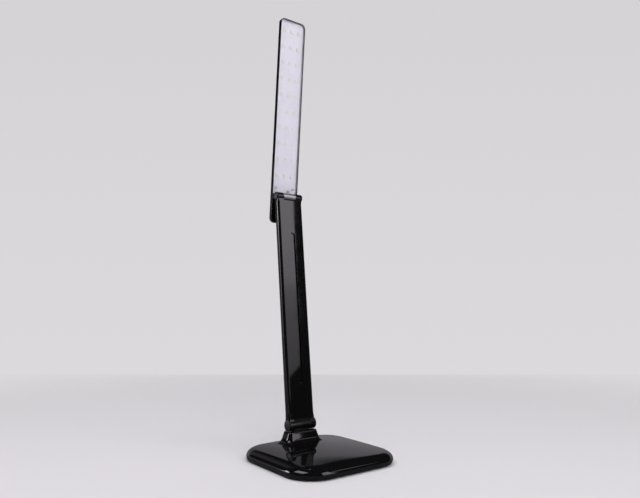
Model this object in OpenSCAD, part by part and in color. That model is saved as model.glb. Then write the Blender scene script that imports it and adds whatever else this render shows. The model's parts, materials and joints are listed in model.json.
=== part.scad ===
// Folding LED desk lamp: a domed square base with a neck, a slim arm and a folding light bar.
// Millimetres, +Z up. The light faces -Y and both hinges turn about X.
// The origin is the middle of the underside, on the table.

/* [Base] */
// Side of the square base, at its widest line
base_side = 150; // [144:1:180]
// Corner radius of the base, seen from above
base_corner = 37; // [32:1:42]
// Height of the widest line above the table
rim_z = 5.6; // [5.2:0.1:7]
// How far the edge tucks in below the widest line
under_run = 3; // [2:0.25:4]
// Width of the rolled upper edge
edge_run = 12; // [10:0.5:14]
// Height of the rolled upper edge above the widest line
edge_rise = 7.8; // [7.4:0.2:9]
// Extra height of the top in the middle of the base
crown_rise = 4.4; // [4:0.2:6]
// Wall of the base cover
base_wall = 2.2; // [1.8:0.1:2.4]
// Thickness of the grip pad under the base
pad_t = 1; // [0.8:0.1:1.4]
// How far the grip pad lies inside the widest line
pad_in = 13; // [10:0.5:20]
// Thickness of the bottom plate
plate_t = 1.8; // [1.6:0.1:2.2]
// Distance of the steel ballast from the left and right of the base
ballast_side_in = 32; // [31:0.5:40]
// Distance of the steel ballast from the front and back of the base
ballast_end_in = 23; // [22:0.5:25]
// Thickness of the steel ballast
ballast_t = 6; // [5:0.25:6.5]
// Distance of the cover screws from the sides of the base
cover_screw_in = 24; // [22:0.5:26]

/* [Neck] */
// Distance of the lower hinge from the back of the base
neck_in = 35; // [33:0.5:37]
// Width of the neck at its top
neck_w = 42; // [40:0.5:45]
// Depth of the neck at its top
neck_d = 17; // [16:0.5:18]
// Corner radius of the neck at its top
neck_corner = 4; // [3:0.5:6]
// Slope of the neck's sides, in degrees off upright
neck_slope = 20; // [14:0.5:22]
// Radius of the fillet between the neck and the top of the base
neck_fillet = 9; // [5:0.5:10]

/* [Lower hinge] */
// Height of the lower hinge axis above the table
lower_axis_z = 37.6; // [36:0.1:42]
// Radius of the lower knuckles and barrel
lower_r = 7; // [6.5:0.25:7.5]
// Width of each lower knuckle of the arm
lower_knuckle_w = 7.4; // [6.9:0.1:9]
// Thickness of each lower friction washer
lower_washer_t = 0.5; // [0.3:0.1:0.8]
// Radius of the lower hinge bolt
lower_bolt_r = 3; // [2.5:0.25:3.5]

/* [Arm] */
// Distance between the two hinge axes
arm_len = 304; // [240:1:340]
// How far the arm leans back from upright, in degrees
arm_lean = 6; // [0:0.5:12]
// Width of the arm
arm_w = 40; // [38:0.2:42]
// Depth of the arm
arm_d = 9.6; // [9.2:0.1:10.4]
// Radius of the arm's long edges
arm_corner = 2; // [1:0.25:2.5]
// Radius of the fillet between the arm's faces and its lower knuckles
arm_foot_fillet = 16; // [8:1:24]
// Wall of the arm's shells
arm_wall = 2.2; // [1.8:0.1:2.4]
// Width of the groove down the front of the arm
groove_w = 9; // [6:0.5:12]
// Depth of the groove
groove_depth = 1; // [0.6:0.1:1.2]
// Distance from each hinge axis to the nearer end of the groove
groove_end = 51.5; // [40:0.5:90]

/* [Upper hinge] */
// Radius of the upper knuckles and barrel, which stand a little proud of the arm's faces
upper_r = 5.3; // [5.2:0.1:5.6]
// Width of each upper knuckle of the arm
upper_knuckle_w = 9.9; // [9.2:0.1:11]
// Thickness of each upper friction washer
upper_washer_t = 0.4; // [0.3:0.1:0.6]
// Radius of the upper hinge bolt
upper_bolt_r = 2; // [1.75:0.25:2.25]
// Thickness of the web that joins the barrel to the light bar
upper_web_t = 6; // [5:0.5:7]

/* [Light bar] */
// How far the light bar leans forward from upright, in degrees
bar_lean = 4.5; // [0:0.5:8]
// Width of the light bar
bar_w = 41.4; // [40.8:0.2:46]
// Length of the light bar above the upper hinge axis
bar_up = 252; // [248:0.5:290]
// Length of the light bar's tail below the upper hinge axis
bar_down = 36.5; // [34:0.5:44]
// Thickness of the light bar
bar_t = 6; // [5.8:0.1:7]
// Corner radius of the light bar, seen from the front
bar_corner = 7; // [5:0.5:9]
// Radius of the light bar's back edge
bar_edge = 1.4; // [1:0.2:2.4]
// Distance of the light bar's face behind the upper hinge axis
bar_offset = 8; // [7.6:0.1:9]
// Width of the rim round the face of the light bar
bezel = 1.2; // [1:0.1:1.5]
// Wall at the back of the light bar
bar_back = 1.6; // [1.4:0.1:1.8]
// Thickness of the clear window
window_t = 1; // [0.8:0.1:1.2]
// Thickness of the board that carries the lights
led_board_t = 1.2; // [1:0.1:1.4]
// Number of rows of lights
led_rows = 10; // [8:1:10]
// Number of columns of lights
led_cols = 3; // [2:1:3]
// Distance between the rows of lights
led_row_pitch = 22.9; // [20:0.1:23.5]
// Distance between the columns of lights
led_col_pitch = 11.4; // [8:0.1:12]
// Distance from the upper hinge axis to the lowest row of lights
led_first = 30.5; // [24:0.5:32]
// Side of each square light
led_side = 5; // [3.5:0.1:5.5]

/* [Hidden] */

$fn = 64;
eps = 0.01;                 // small extra reach of a cutting tool
run_gap = 0.05;             // radial gap of a turning fit
seat_gap = 0.1;             // gap round a piece that sits in a recess
joint_gap = 0.4;            // radial gap between turning knuckles and what they pass
hole_gap = 0.2;             // radial gap of the clearance hole of a screw, a bolt or its head
board_gap = 0.3;            // gap round a circuit board, and between a wire and what it passes

// ---- base ----
half = base_side / 2;
pad_side = base_side - 2 * pad_in;
plate_z = pad_t;                                     // underside of the bottom plate
plate_top = plate_z + plate_t;
ballast_top = plate_top + ballast_t;
ballast_corner = 12;
ballast_w = base_side - 2 * ballast_side_in;
ballast_d = base_side - 2 * ballast_end_in;
cover_screw_xy = half - cover_screw_in;              // place of the cover screws along X and Y
mouth_inset = under_run + base_wall;                 // inner edge of the cover's mouth
plate_gap = 0.3;                                     // gap between the bottom plate and the mouth
plate_side = base_side - 2 * (mouth_inset + plate_gap);
plate_corner = base_corner - mouth_inset - plate_gap;
boss_r = 3.6;
screw_r = 1.5;
screw_head_r = 2.6;
screw_head_h = 1.2;

// Distance inwards from the base's outline at a point
function outline_depth(x, y) =
    let (qx = abs(x) - (half - base_corner), qy = abs(y) - (half - base_corner))
    base_corner - norm([max(qx, 0), max(qy, 0)]) - min(max(qx, qy), 0);

// Height that the rolled edge has reached at a depth inside the outline
function roll(depth, run, rise) =
    depth >= run ? rise : rise * sqrt(max(0, 1 - pow(1 - max(depth, 0) / run, 2)));

// Height of the crown at a point
function crown(x, y) = crown_rise * (1 - pow(x / half, 2)) * (1 - pow(y / half, 2));

// Height of the cover's outside at a point, and of its inside
function top_z(x, y) = rim_z + roll(outline_depth(x, y), edge_run, edge_rise) + crown(x, y);
function roof_z(x, y) = top_z(x, y) - base_wall;

// ---- neck and lower hinge ----
neck_y = half - neck_in;                             // the lower hinge stands behind the middle
neck_top = lower_axis_z - lower_r - joint_gap;
neck_rise = neck_top - top_z(neck_w / 2, neck_y);    // height of the neck above the dome
fillet_up = neck_fillet * (1 - sin(neck_slope));     // height of the neck's fillet
lower_knuckle_x = arm_w / 2 - lower_knuckle_w;       // inner face of a lower knuckle
lower_barrel_w = 2 * (lower_knuckle_x - lower_washer_t - seat_gap);
post_web_t = 8;
post_screw_x = lower_barrel_w / 2 + 2;
post_screw_y = 8;
post_foot_w = 2 * (post_screw_x + 4);
post_foot_d = 2 * (post_screw_y + 4);
post_foot_t = 3.6;
post_foot_top = ballast_top + post_foot_t;
window_half_w = lower_barrel_w / 2 + joint_gap;
window_half_d = post_web_t / 2 + joint_gap;
lower_head_r = lower_bolt_r + 1.6;
lower_head_h = 2.4;
lower_seat_x = lower_knuckle_x + 2;                                 // seat of the bolt head and the nut
lower_cap_t = 1.4;
foot_y = arm_d / 2 + arm_foot_fillet;                // centre line of the fillets above the lower knuckles
foot_z = sqrt(pow(lower_r + arm_foot_fillet, 2) - pow(foot_y, 2));
foot_touch = lower_r / (lower_r + arm_foot_fillet);  // where a fillet meets its knuckle, as a share

// ---- arm ----
upper_y = neck_y + arm_len * sin(arm_lean);
upper_z = lower_axis_z + arm_len * cos(arm_lean);
parting_y = 1.2;                                     // the back shell begins here
end_block = 18;                                      // solid length of the arm above and below its hollow
cover_gap = seat_gap;
arm_back_lo = end_block + 2;
arm_back_hi = arm_len - end_block - 2;
arm_inner_w = arm_w - 2 * arm_wall;
arm_inner_d = arm_d - 2 * arm_wall;
arm_screw_x = 10.5;
arm_screw_in = 32;                                   // distance of the arm's screws from each hinge axis
arm_screw_r = 1;
arm_head_r = 2.1;
arm_head_h = 1.2;
arm_plug_t = 0.8;
arm_pad_h = 1.2;                                     // inner pad of the back shell under each screw
arm_pad_r = 3.6;
arm_boss_r = 2.6;
wire_r = 1.1;

// ---- upper hinge ----
upper_knuckle_x = arm_w / 2 - upper_knuckle_w;       // inner face of an upper knuckle
upper_barrel_w = 2 * (upper_knuckle_x - upper_washer_t - seat_gap);
upper_head_r = upper_bolt_r + 1.3;
upper_head_h = 2;
upper_seat_x = upper_knuckle_x + 3.6;
upper_cap_t = 1.5;
web_clear = upper_web_t / 2 + 1.2;                   // the arm's middle stops this far below the upper axis

// ---- light bar ----
bar_y = bar_offset;                                  // face of the light bar, behind the upper axis
bar_floor = bar_y + bar_t - bar_back;                // inner face of the back wall
bar_mid = (bar_up - bar_down) / 2;
bar_len = bar_up + bar_down;
window_y = bar_y + 0.3;                              // the window lies just inside the rim
board_y = bar_floor - led_board_t;
led_h = 0.8;
tail_top = 4;                                        // the tail's cover ends this far above the axis
tail_t = 1.5;
barrel_foot_t = 1.4;
barrel_foot_down = 17;
barrel_screw_s = -12;
barrel_screw_x = 6;
barrel_head_y = bar_y + tail_t + 0.7;                // seat of the barrel screws' heads
bar_screw_tip = bar_floor + 0.7;                     // depth that the light bar's screws reach
small_screw_r = 0.8;
small_head_r = 1.6;

// ---------- shared shapes ----------

// Rectangle with round corners, made of true arcs
module round_rect(w, d, r) {
    square([w - 2 * r, d], center = true);
    square([w, d - 2 * r], center = true);
    for (sx = [-1, 1], sy = [-1, 1])
        translate([sx * (w / 2 - r), sy * (d / 2 - r)])
            circle(r);
}

// Cylinder along X between two places
module x_rod(r, x0, x1)
    translate([x0, 0, 0])
        rotate([0, 90, 0])
            cylinder(r = r, h = x1 - x0);

// Cylinder along Y between two places
module y_rod(r, y0, y1)
    translate([0, y0, 0])
        rotate([-90, 0, 0])
            cylinder(r = r, h = y1 - y0);

// Box between two corners
module block(lo, hi)
    translate(lo)
        cube(hi - lo);

// Outline of a round rectangle as points: arc_n steps a corner and side_n points along each side
function ring2(hx, hy, r, arc_n, side_n) =
    let (sx = [1, -1, -1, 1], sy = [1, 1, -1, -1])
    [for (q = [0:3]) each
        let (
            q2 = (q + 1) % 4,
            last = [sx[q] * (hx - r) + r * cos(90 * (q + 1)), sy[q] * (hy - r) + r * sin(90 * (q + 1))],
            next = [sx[q2] * (hx - r) + r * cos(90 * q2), sy[q2] * (hy - r) + r * sin(90 * q2)]
        )
        concat(
            [for (i = [0:arc_n])
                let (a = 90 * (q + i / arc_n))
                [sx[q] * (hx - r) + r * cos(a), sy[q] * (hy - r) + r * sin(a)]],
            [for (i = [1:1:side_n]) last + (next - last) * i / (side_n + 1)]
        )];

// Skin over a list of rings that have equally many points, each counter-clockwise about the way
// the list runs. A joined skin runs from the last ring back to the first, and an open one is
// closed by a face at each end.
module skin(rings, joined = false) {
    count = len(rings);
    n = len(rings[0]);
    points = [for (ring = rings) each ring];
    bands = joined ? count : count - 1;
    sides = [for (k = [0:bands - 1], i = [0:n - 1]) each
        let (
            a = k * n + i,
            b = k * n + (i + 1) % n,
            c = ((k + 1) % count) * n + (i + 1) % n,
            d = ((k + 1) % count) * n + i
        )
        [[a, c, b], [a, d, c]]];
    ends = joined ? [] : [[for (i = [0:n - 1]) i], [for (i = [n - 1:-1:0]) (count - 1) * n + i]];
    polyhedron(points = points, faces = concat(sides, ends));
}

// Screw along +Z from its head's underside down; the head stands on z = 0
module screw(r, length, head_r, head_h) {
    translate([0, 0, -length])
        cylinder(r = r, h = length);
    difference() {
        cylinder(r = head_r, h = head_h);
        translate([0, 0, head_h * 0.5])
            for (turn = [0, 90])
                rotate([0, 0, turn])
                    block([-head_r * 0.6, -head_r * 0.14, 0], [head_r * 0.6, head_r * 0.14, head_h]);
    }
}

// Carry a shape from the arm's own frame (lower axis at 0, arm along +Z) to the lamp
module in_arm()
    translate([0, neck_y, lower_axis_z])
        rotate([-arm_lean, 0, 0])
            children();

// Carry a shape from the light bar's own frame (upper axis at 0, bar along +Z) to the lamp
module in_bar()
    translate([0, upper_y, upper_z])
        rotate([bar_lean, 0, 0])
            children();

// ---------- base ----------

arc_n = 8;
side_n = 3;
rim_points = 4 * (arc_n + 1 + side_n);

// Ring of the cover at a depth inside the outline
function base_ring(depth) =
    ring2(half - depth, half - depth, base_corner - depth, arc_n, side_n);

// Ring of the neck over the lower hinge, grown all round
function neck_ring(grow) =
    [for (p = ring2(neck_w / 2 + grow, neck_d / 2 + grow, neck_corner + max(grow, 0), arc_n, side_n))
        p + [0, neck_y]];

// Profile of the neck as [how far it stands out, height], from its foot up: a fillet, then the slope
function neck_profile(steps) =
    let (out = (neck_rise - fillet_up) * tan(neck_slope))
    concat(
        [for (k = [0:steps])
            let (a = (90 - neck_slope) * k / steps)
            [out + neck_fillet * (cos(neck_slope) - sin(a)), neck_fillet * (1 - cos(a))]],
        [[0, neck_rise]]
    );

function flat(ring, z) = [for (p = ring) [p[0], p[1], z]];

// Rings of the cover's outside, lifted by the crown, then of the neck's flare
function edge_rings(inset, shift, steps) =
    [for (k = [0:steps])
        let (
            a = 90 * k / steps,
            ring = base_ring(inset + (edge_run - inset) * (1 - cos(a)))
        )
        [for (p = ring) [p[0], p[1], rim_z + (edge_rise + shift) * sin(a) + crown(p[0], p[1]) * sin(a)]]];

function dome_rings(grow, shift, steps) =
    let (outer = base_ring(edge_run), inner = neck_ring(grow + neck_profile(1)[0][0]))
    [for (k = [1:steps])
        [for (i = [0:rim_points - 1])
            let (p = outer[i] + (inner[i] - outer[i]) * k / steps)
            [p[0], p[1], top_z(p[0], p[1]) + shift]]];

function neck_rings(grow, shift, steps) =
    let (profile = neck_profile(steps))
    [for (k = [1:steps + 1])
        [for (p = neck_ring(grow + profile[k][0]))
            let (z0 = top_z(p[0], p[1]) + shift)
            [p[0], p[1], z0 + (neck_top + shift - z0) * profile[k][1] / neck_rise]]];

function reversed(list) = [for (i = [len(list) - 1:-1:0]) list[i]];

// Outside of the cover, from the mouth up to the window in the top of the neck
function cover_outside() =
    concat(
        [flat(base_ring(under_run), plate_z)],
        [for (a = [60, 30])
            flat(base_ring(under_run * (1 - cos(a))), rim_z - (rim_z - plate_z) * sin(a))],
        edge_rings(0, 0, 7),
        dome_rings(0, 0, 7),
        neck_rings(0, 0, 7)
    );

// Inside of the cover, from the window down to the mouth
function cover_inside() =
    concat(
        [flat(base_ring(mouth_inset), plate_z)],
        [flat(base_ring(base_wall), rim_z)],
        edge_rings(base_wall, -base_wall, 4),
        dome_rings(-base_wall, -base_wall, 5),
        neck_rings(-base_wall, -base_wall, 4)
    );

function window_ring(z) =
    [for (p = ring2(window_half_w, window_half_d, 1, arc_n, side_n)) [p[0], p[1] + neck_y, z]];

module base_cover() color("black") {
    difference() {
        union() {
            skin(concat(
                cover_outside(),
                [window_ring(neck_top), window_ring(neck_top - base_wall)],
                reversed(cover_inside())
            ), joined = true);
            for (sx = [-1, 1], sy = [-1, 1])
                translate([sx * cover_screw_xy, sy * cover_screw_xy, plate_top])
                    cylinder(r = boss_r, h = roof_z(cover_screw_xy, cover_screw_xy) + base_wall / 2 - plate_top);
            for (sx = [-1, 1])
                translate([sx * touch_screw_x, touch_y, touch_board_top])
                    cylinder(r = touch_boss_r, h = roof_z(touch_screw_x, touch_y) + base_wall / 2 - touch_board_top);
        }
        for (sx = [-1, 1], sy = [-1, 1])
            translate([sx * cover_screw_xy, sy * cover_screw_xy, plate_top - eps])
                cylinder(r = screw_r + run_gap, h = cover_screw_bite + 1);
        for (sx = [-1, 1])
            translate([sx * touch_screw_x, touch_y, touch_board_top - eps])
                cylinder(r = small_screw_r + run_gap, h = touch_screw_bite + board_gap);
        translate([0, 0, inlet_z])
            y_rod(inlet_nose_r + seat_gap, half - base_wall * 3, half + 1);
        translate([0, 0, inlet_z])
            y_rod(inlet_nose_r + 1.4, half - 1.2, half + 1);
    }
}

cover_screw_bite = 6;

module base_plate() color("#202022")
    difference() {
        translate([0, 0, plate_z])
            linear_extrude(plate_t)
                round_rect(plate_side, plate_side, plate_corner);
        for (sx = [-1, 1], sy = [-1, 1])
            translate([sx * cover_screw_xy, sy * cover_screw_xy, plate_z]) {
                translate([0, 0, -eps])
                    cylinder(r = screw_r + hole_gap, h = plate_t + 2 * eps);
                translate([0, 0, -eps])
                    cylinder(r = screw_head_r + hole_gap, h = screw_head_h + eps);
            }
    }

module grip_pad() color("#303030")
    linear_extrude(pad_t)
        round_rect(pad_side, pad_side, base_corner - (base_side - pad_side) / 2);

module cover_screws() color("silver")
    for (sx = [-1, 1], sy = [-1, 1])
        translate([sx * cover_screw_xy, sy * cover_screw_xy, plate_z + screw_head_h])
            rotate([180, 0, 0])
                screw(screw_r, plate_t - screw_head_h + cover_screw_bite, screw_head_r, screw_head_h);

ballast_y = 1;                                       // the ballast sits a little behind the middle

module ballast() color("dimgray")
    difference() {
        translate([0, ballast_y, plate_top])
            linear_extrude(ballast_t)
                round_rect(ballast_w, ballast_d, ballast_corner);
        for (sx = [-1, 1], sy = [-1, 1])
            translate([sx * post_screw_x, neck_y + sy * post_screw_y, plate_top + 1])
                cylinder(r = screw_r + run_gap, h = ballast_t);
    }

module hinge_post() color("#151515")
    translate([0, neck_y, 0])
        difference() {
            union() {
                translate([0, 0, ballast_top])
                    linear_extrude(post_foot_t)
                        round_rect(post_foot_w, post_foot_d, 3);
                rotate([90, 0, 90])
                    translate([0, 0, -lower_barrel_w / 2])
                        linear_extrude(lower_barrel_w)
                            polygon([
                                [-post_web_t / 2 - 2, post_foot_top - eps],
                                [post_web_t / 2 + 2, post_foot_top - eps],
                                [post_web_t / 2, post_foot_top + 5],
                                [post_web_t / 2, lower_axis_z],
                                [-post_web_t / 2, lower_axis_z],
                                [-post_web_t / 2, post_foot_top + 5]
                            ]);
                translate([0, 0, lower_axis_z])
                    x_rod(lower_r, -lower_barrel_w / 2, lower_barrel_w / 2);
            }
            translate([0, 0, lower_axis_z])
                x_rod(lower_bolt_r + run_gap, -lower_barrel_w, lower_barrel_w);
            for (sx = [-1, 1], sy = [-1, 1])
                translate([sx * post_screw_x, sy * post_screw_y, ballast_top - eps])
                    cylinder(r = screw_r + hole_gap, h = post_foot_t + 1);
        }

module post_screws() color("silver")
    for (sx = [-1, 1], sy = [-1, 1])
        translate([sx * post_screw_x, neck_y + sy * post_screw_y, post_foot_top])
            screw(screw_r, post_foot_t + ballast_t - 1.5, screw_head_r, screw_head_h);

// ---- electronics in the base ----
touch_y = 29 - half;                                 // the touch keys lie near the front
touch_w = 64;
touch_d = 14;
touch_t = 1.2;
touch_screw_x = touch_w / 2 - 4;
touch_boss_r = 2.4;
touch_screw_bite = 1.8;
touch_pad_pitch = 18;
touch_pad_r = 5;
touch_board_top = ballast_top + 1.6 + touch_t;

module touch_board() color("darkgreen") {
    z0 = touch_board_top - touch_t;
    difference() {
        translate([0, touch_y, z0])
            linear_extrude(touch_t)
                round_rect(touch_w, touch_d, 1.5);
        for (sx = [-1, 1])
            translate([sx * touch_screw_x, touch_y, z0 - eps])
                cylinder(r = small_screw_r + hole_gap, h = touch_t + 2 * eps);
    }
    translate([0, touch_y, z0 - 1])
        linear_extrude(1 + eps)
            round_rect(6, 5, 0.5);
}

module touch_board_screws() color("silver")
    for (sx = [-1, 1])
        translate([sx * touch_screw_x, touch_y, touch_board_top - touch_t])
            rotate([180, 0, 0])
                screw(small_screw_r, touch_t + touch_screw_bite, small_head_r, 0.9);

module touch_pads() color("#404040")
    for (k = [-1:1])
        translate([k * touch_pad_pitch, touch_y, touch_board_top])
            cylinder(r = touch_pad_r, h = roof_z(touch_pad_pitch + touch_pad_r, touch_y - touch_pad_r)
                - 0.2 - touch_board_top);

inlet_nose_r = 2.7;
inlet_bore_r = 1.75;
inlet_pin_r = 0.65;
inlet_w = 7;
inlet_y = half - 14.5;                               // back of the socket's body
inlet_body = 8;
inlet_h = 5.4;
power_half_w = 20;
power_t = 1.2;
power_z = plate_top + board_gap;                     // the board stands on short feet
inlet_z = power_z + power_t + inlet_h / 2;

module power_board() color("darkgreen") {
    y0 = ballast_y + ballast_d / 2 + 1;
    y1 = inlet_y + inlet_body - 1;
    block([-power_half_w, y0, power_z], [power_half_w, y1, power_z + power_t]);
    for (sx = [-1, 1])
        translate([sx * (power_half_w - 3), (y0 + y1) / 2, plate_top])
            cylinder(r = 1.5, h = power_z - plate_top + eps);
    translate([-12, (y0 + y1) / 2, power_z + power_t - eps])
        cylinder(r = 2.5, h = 4.5);
    translate([11, (y0 + y1) / 2 - 2.5, power_z + power_t - eps])
        cube([6, 5, 3]);
}

module dc_inlet() color("#181818")
    translate([0, 0, inlet_z]) {
        difference() {
            union() {
                block([-inlet_w / 2, inlet_y, -inlet_h / 2], [inlet_w / 2, inlet_y + inlet_body, inlet_h / 2]);
                y_rod(inlet_nose_r, inlet_y + inlet_body - eps, half - 0.8);
            }
            y_rod(inlet_bore_r, inlet_y + 3, half);
        }
        y_rod(inlet_pin_r, inlet_y + 3 - eps, half - 2);
    }

// Eight-sided wire along a list of points
function unit(v) = v / norm(v);
function wire_ring(path, i, r) =
    let (
        last = len(path) - 1,
        along = unit(path[min(i + 1, last)] - path[max(i - 1, 0)]),
        side = unit(cross(along, [0.1, 0.2, 1])),
        up = cross(along, side)
    )
    [for (k = [0:7]) path[i] + r * (cos(45 * k) * side + sin(45 * k) * up)];
module wire(path, r)
    skin([for (i = [0:len(path) - 1]) wire_ring(path, i, r)]);

wire_bend = 8;                                       // room that a wire takes to turn a corner
board_wire_x = -ballast_w / 2 - 2.6;                 // the wire runs beside the ballast
board_wire_z = plate_top + wire_r + hole_gap;
wire_over_z = ballast_top + wire_r + board_gap;      // the wires pass over the ballast at this height
supply_wire_x = post_foot_w / 2 + 2.8;               // the wire runs beside the post's foot
supply_end_x = lower_barrel_w / 2 + wire_r + 1;

module board_wire() color("firebrick")
    wire([
        [-power_half_w - wire_r - board_gap, inlet_y + 0.5, board_wire_z],
        [board_wire_x + wire_bend, inlet_y - 1, board_wire_z],
        [board_wire_x, inlet_y - 1.5 * wire_bend, board_wire_z],
        [board_wire_x, 0, board_wire_z],
        [board_wire_x, touch_y + 1.5 * wire_bend, board_wire_z],
        [board_wire_x, touch_y + wire_bend / 2, wire_over_z],
        [-touch_w / 2 - 0.75 * wire_bend, touch_y, touch_board_top - touch_t / 2],
        [-touch_w / 2 - board_gap, touch_y, touch_board_top - touch_t / 2]
    ], wire_r);

module supply_wire() color("firebrick")
    wire([
        [power_half_w - wire_r - board_gap, inlet_y - 1.5, power_z + power_t + wire_r + hole_gap],
        [supply_wire_x, ballast_y + ballast_d / 2 + 2, wire_over_z],
        [supply_wire_x, neck_y + 8, wire_over_z],
        [supply_wire_x, neck_y + 1, post_foot_top + 0.8],
        [supply_end_x + 1, neck_y, post_foot_top + 3.4],
        [supply_end_x, neck_y, post_foot_top + 6],
        [supply_end_x, neck_y, neck_top - base_wall - 0.4]
    ], wire_r);

// ---------- arm ----------

// Fillets that widen the arm's front and back into its lower knuckles
module arm_foot()
    for (side = [0, 180])
        rotate([0, 0, side])
            difference() {
                block([-arm_w / 2, 0, foot_z * foot_touch], [arm_w / 2, foot_y * foot_touch, foot_z]);
                translate([0, foot_y, foot_z])
                    x_rod(arm_foot_fillet, -arm_w, arm_w);
            }

// Outer form of the arm with both pairs of knuckles
module arm_form() {
    linear_extrude(arm_len)
        round_rect(arm_w, arm_d, arm_corner);
    arm_foot();
    x_rod(lower_r, -arm_w / 2, arm_w / 2);
    translate([0, 0, arm_len])
        x_rod(upper_r, -arm_w / 2, arm_w / 2);
}

// Room for the fixed barrel below and for the silver barrel and its web above
module arm_middle_room() {
    x_rod(lower_r + joint_gap, -lower_knuckle_x, lower_knuckle_x);
    block([-lower_knuckle_x, -arm_d, -2 * lower_r], [lower_knuckle_x, arm_d, 0]);
    translate([0, 0, arm_len]) {
        x_rod(upper_r + joint_gap, -upper_knuckle_x, upper_knuckle_x);
        block([-upper_knuckle_x, -arm_d, -web_clear], [upper_knuckle_x, arm_d, 2 * upper_r]);
    }
}

// Holes along a hinge axis: the bolt's hole and the two recesses for its head and nut
module hinge_holes(bolt_r, head_r, seat_x) {
    x_rod(bolt_r + run_gap, -arm_w, arm_w);
    for (side = [0, 180])
        rotate([0, 0, side])
            x_rod(head_r + hole_gap, seat_x, arm_w);
}

// The arm's four screws, as places
module at_arm_screws()
    for (sx = [-1, 1], z = [arm_screw_in, arm_len - arm_screw_in])
        translate([sx * arm_screw_x, 0, z])
            children();

module arm_groove()
    translate([0, -arm_d / 2 - 1, 0]) {
        block([-groove_w / 2, 0, groove_end + groove_w / 2],
            [groove_w / 2, 1 + groove_depth, arm_len - groove_end - groove_w / 2]);
        for (z = [groove_end + groove_w / 2, arm_len - groove_end - groove_w / 2])
            translate([0, 0, z])
                y_rod(groove_w / 2, 0, 1 + groove_depth);
    }

module arm_front() color("black")
    in_arm()
        difference() {
            union() {
                difference() {
                    arm_form();
                    translate([0, 0, end_block])
                        linear_extrude(arm_len - 2 * end_block)
                            square([arm_inner_w, arm_inner_d], center = true);
                    block([-arm_w, parting_y, arm_back_lo], [arm_w, arm_d, arm_back_hi]);
                }
                at_arm_screws()
                    y_rod(arm_boss_r, -arm_d / 2 + arm_wall - 0.5, arm_pad_y - run_gap);
            }
            arm_middle_room();
            hinge_holes(lower_bolt_r, lower_head_r, lower_seat_x);
            translate([0, 0, arm_len])
                hinge_holes(upper_bolt_r, upper_head_r, upper_seat_x);
            arm_groove();
            at_arm_screws()
                y_rod(arm_screw_r + run_gap, -arm_d / 2 + arm_wall, arm_d);
            cylinder(r = wire_r + 0.3, h = arm_len);
        }

arm_pad_y = arm_d / 2 - arm_wall - arm_pad_h;        // inner face of the back shell's screw pads
arm_head_y = arm_d / 2 - arm_plug_t - arm_head_h;    // seat of the arm's screw heads

module arm_back() color("black")
    in_arm()
        difference() {
            union() {
                intersection() {
                    translate([0, 0, arm_back_lo + cover_gap])
                        linear_extrude(arm_back_hi - arm_back_lo - 2 * cover_gap)
                            difference() {
                                round_rect(arm_w, arm_d, arm_corner);
                                square([arm_inner_w, arm_inner_d], center = true);
                            }
                    block([-arm_w, parting_y + run_gap, 0], [arm_w, arm_d, arm_len]);
                }
                at_arm_screws()
                    y_rod(arm_pad_r, arm_pad_y, arm_d / 2 - arm_wall + 0.5);
            }
            at_arm_screws() {
                y_rod(arm_screw_r + hole_gap, 0, arm_d);
                y_rod(arm_head_r + seat_gap, arm_head_y, arm_d);
            }
        }

module arm_screws() color("silver")
    in_arm()
        at_arm_screws()
            translate([0, arm_head_y, 0])
                rotate([-90, 0, 0])
                    screw(arm_screw_r, arm_head_y + arm_d / 2 - arm_wall - 0.4, arm_head_r, arm_head_h);

module arm_plugs() color("#101010")
    in_arm()
        at_arm_screws()
            y_rod(arm_head_r, arm_d / 2 - arm_plug_t + run_gap, arm_d / 2);

module arm_wire() color("firebrick")
    in_arm()
        translate([0, 0, lower_r + joint_gap + 1])
            cylinder(r = wire_r, h = arm_len - lower_r - joint_gap - 2 - web_clear);

// ---------- hinges ----------

// Bolt whose head sits in the -X knuckle and whose end is flush with the nut in the +X knuckle
module hinge_bolt(bolt_r, head_r, head_h, seat_x) {
    x_rod(bolt_r, -seat_x - eps, seat_x + head_h);
    difference() {
        x_rod(head_r, -seat_x - head_h, -seat_x);
        rotate([90, 0, -90])
            translate([0, 0, seat_x + head_h * 0.5])
                cylinder(r = bolt_r * 0.8, h = head_h, $fn = 6);
    }
}

module hinge_nut(bolt_r, head_r, head_h, seat_x)
    difference() {
        translate([seat_x, 0, 0])
            rotate([0, 90, 0])
                cylinder(r = head_r, h = head_h, $fn = 6);
        x_rod(bolt_r + run_gap, 0, arm_w);
    }

// Thin friction washer against each knuckle's inner face
module hinge_washers(bolt_r, outer_r, thickness, knuckle_x)
    for (side = [0, 180])
        rotate([0, 0, side])
            difference() {
                x_rod(outer_r, knuckle_x - thickness, knuckle_x);
                x_rod(bolt_r + hole_gap, 0, arm_w);
            }

// Domed button over each end of a hinge, with a spigot in the recess
module hinge_caps(outer_r, spigot_r, thickness, spigot) {
    round_r = thickness * 0.75;
    for (side = [0, 180])
        rotate([0, 0, side])
            translate([arm_w / 2, 0, 0])
                rotate([0, 90, 0])
                    rotate_extrude() {
                        translate([0, -spigot])
                            square([spigot_r, spigot + eps]);
                        square([outer_r - round_r, thickness]);
                        square([outer_r, thickness - round_r]);
                        translate([outer_r - round_r, thickness - round_r])
                            intersection() {
                                circle(round_r);
                                square(round_r * 2);
                            }
                    }
}

module lower_bolt() color("silver")
    in_arm() hinge_bolt(lower_bolt_r, lower_head_r, lower_head_h, lower_seat_x);

module lower_nut() color("silver")
    in_arm() hinge_nut(lower_bolt_r, lower_head_r, lower_head_h, lower_seat_x);

module lower_washers() color("goldenrod")
    in_arm() hinge_washers(lower_bolt_r, lower_r - 0.8, lower_washer_t, lower_knuckle_x);

module lower_caps() color("#0c0c0c")
    in_arm() hinge_caps(lower_r, lower_head_r, lower_cap_t,
        arm_w / 2 - lower_seat_x - lower_head_h - 0.3);

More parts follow.
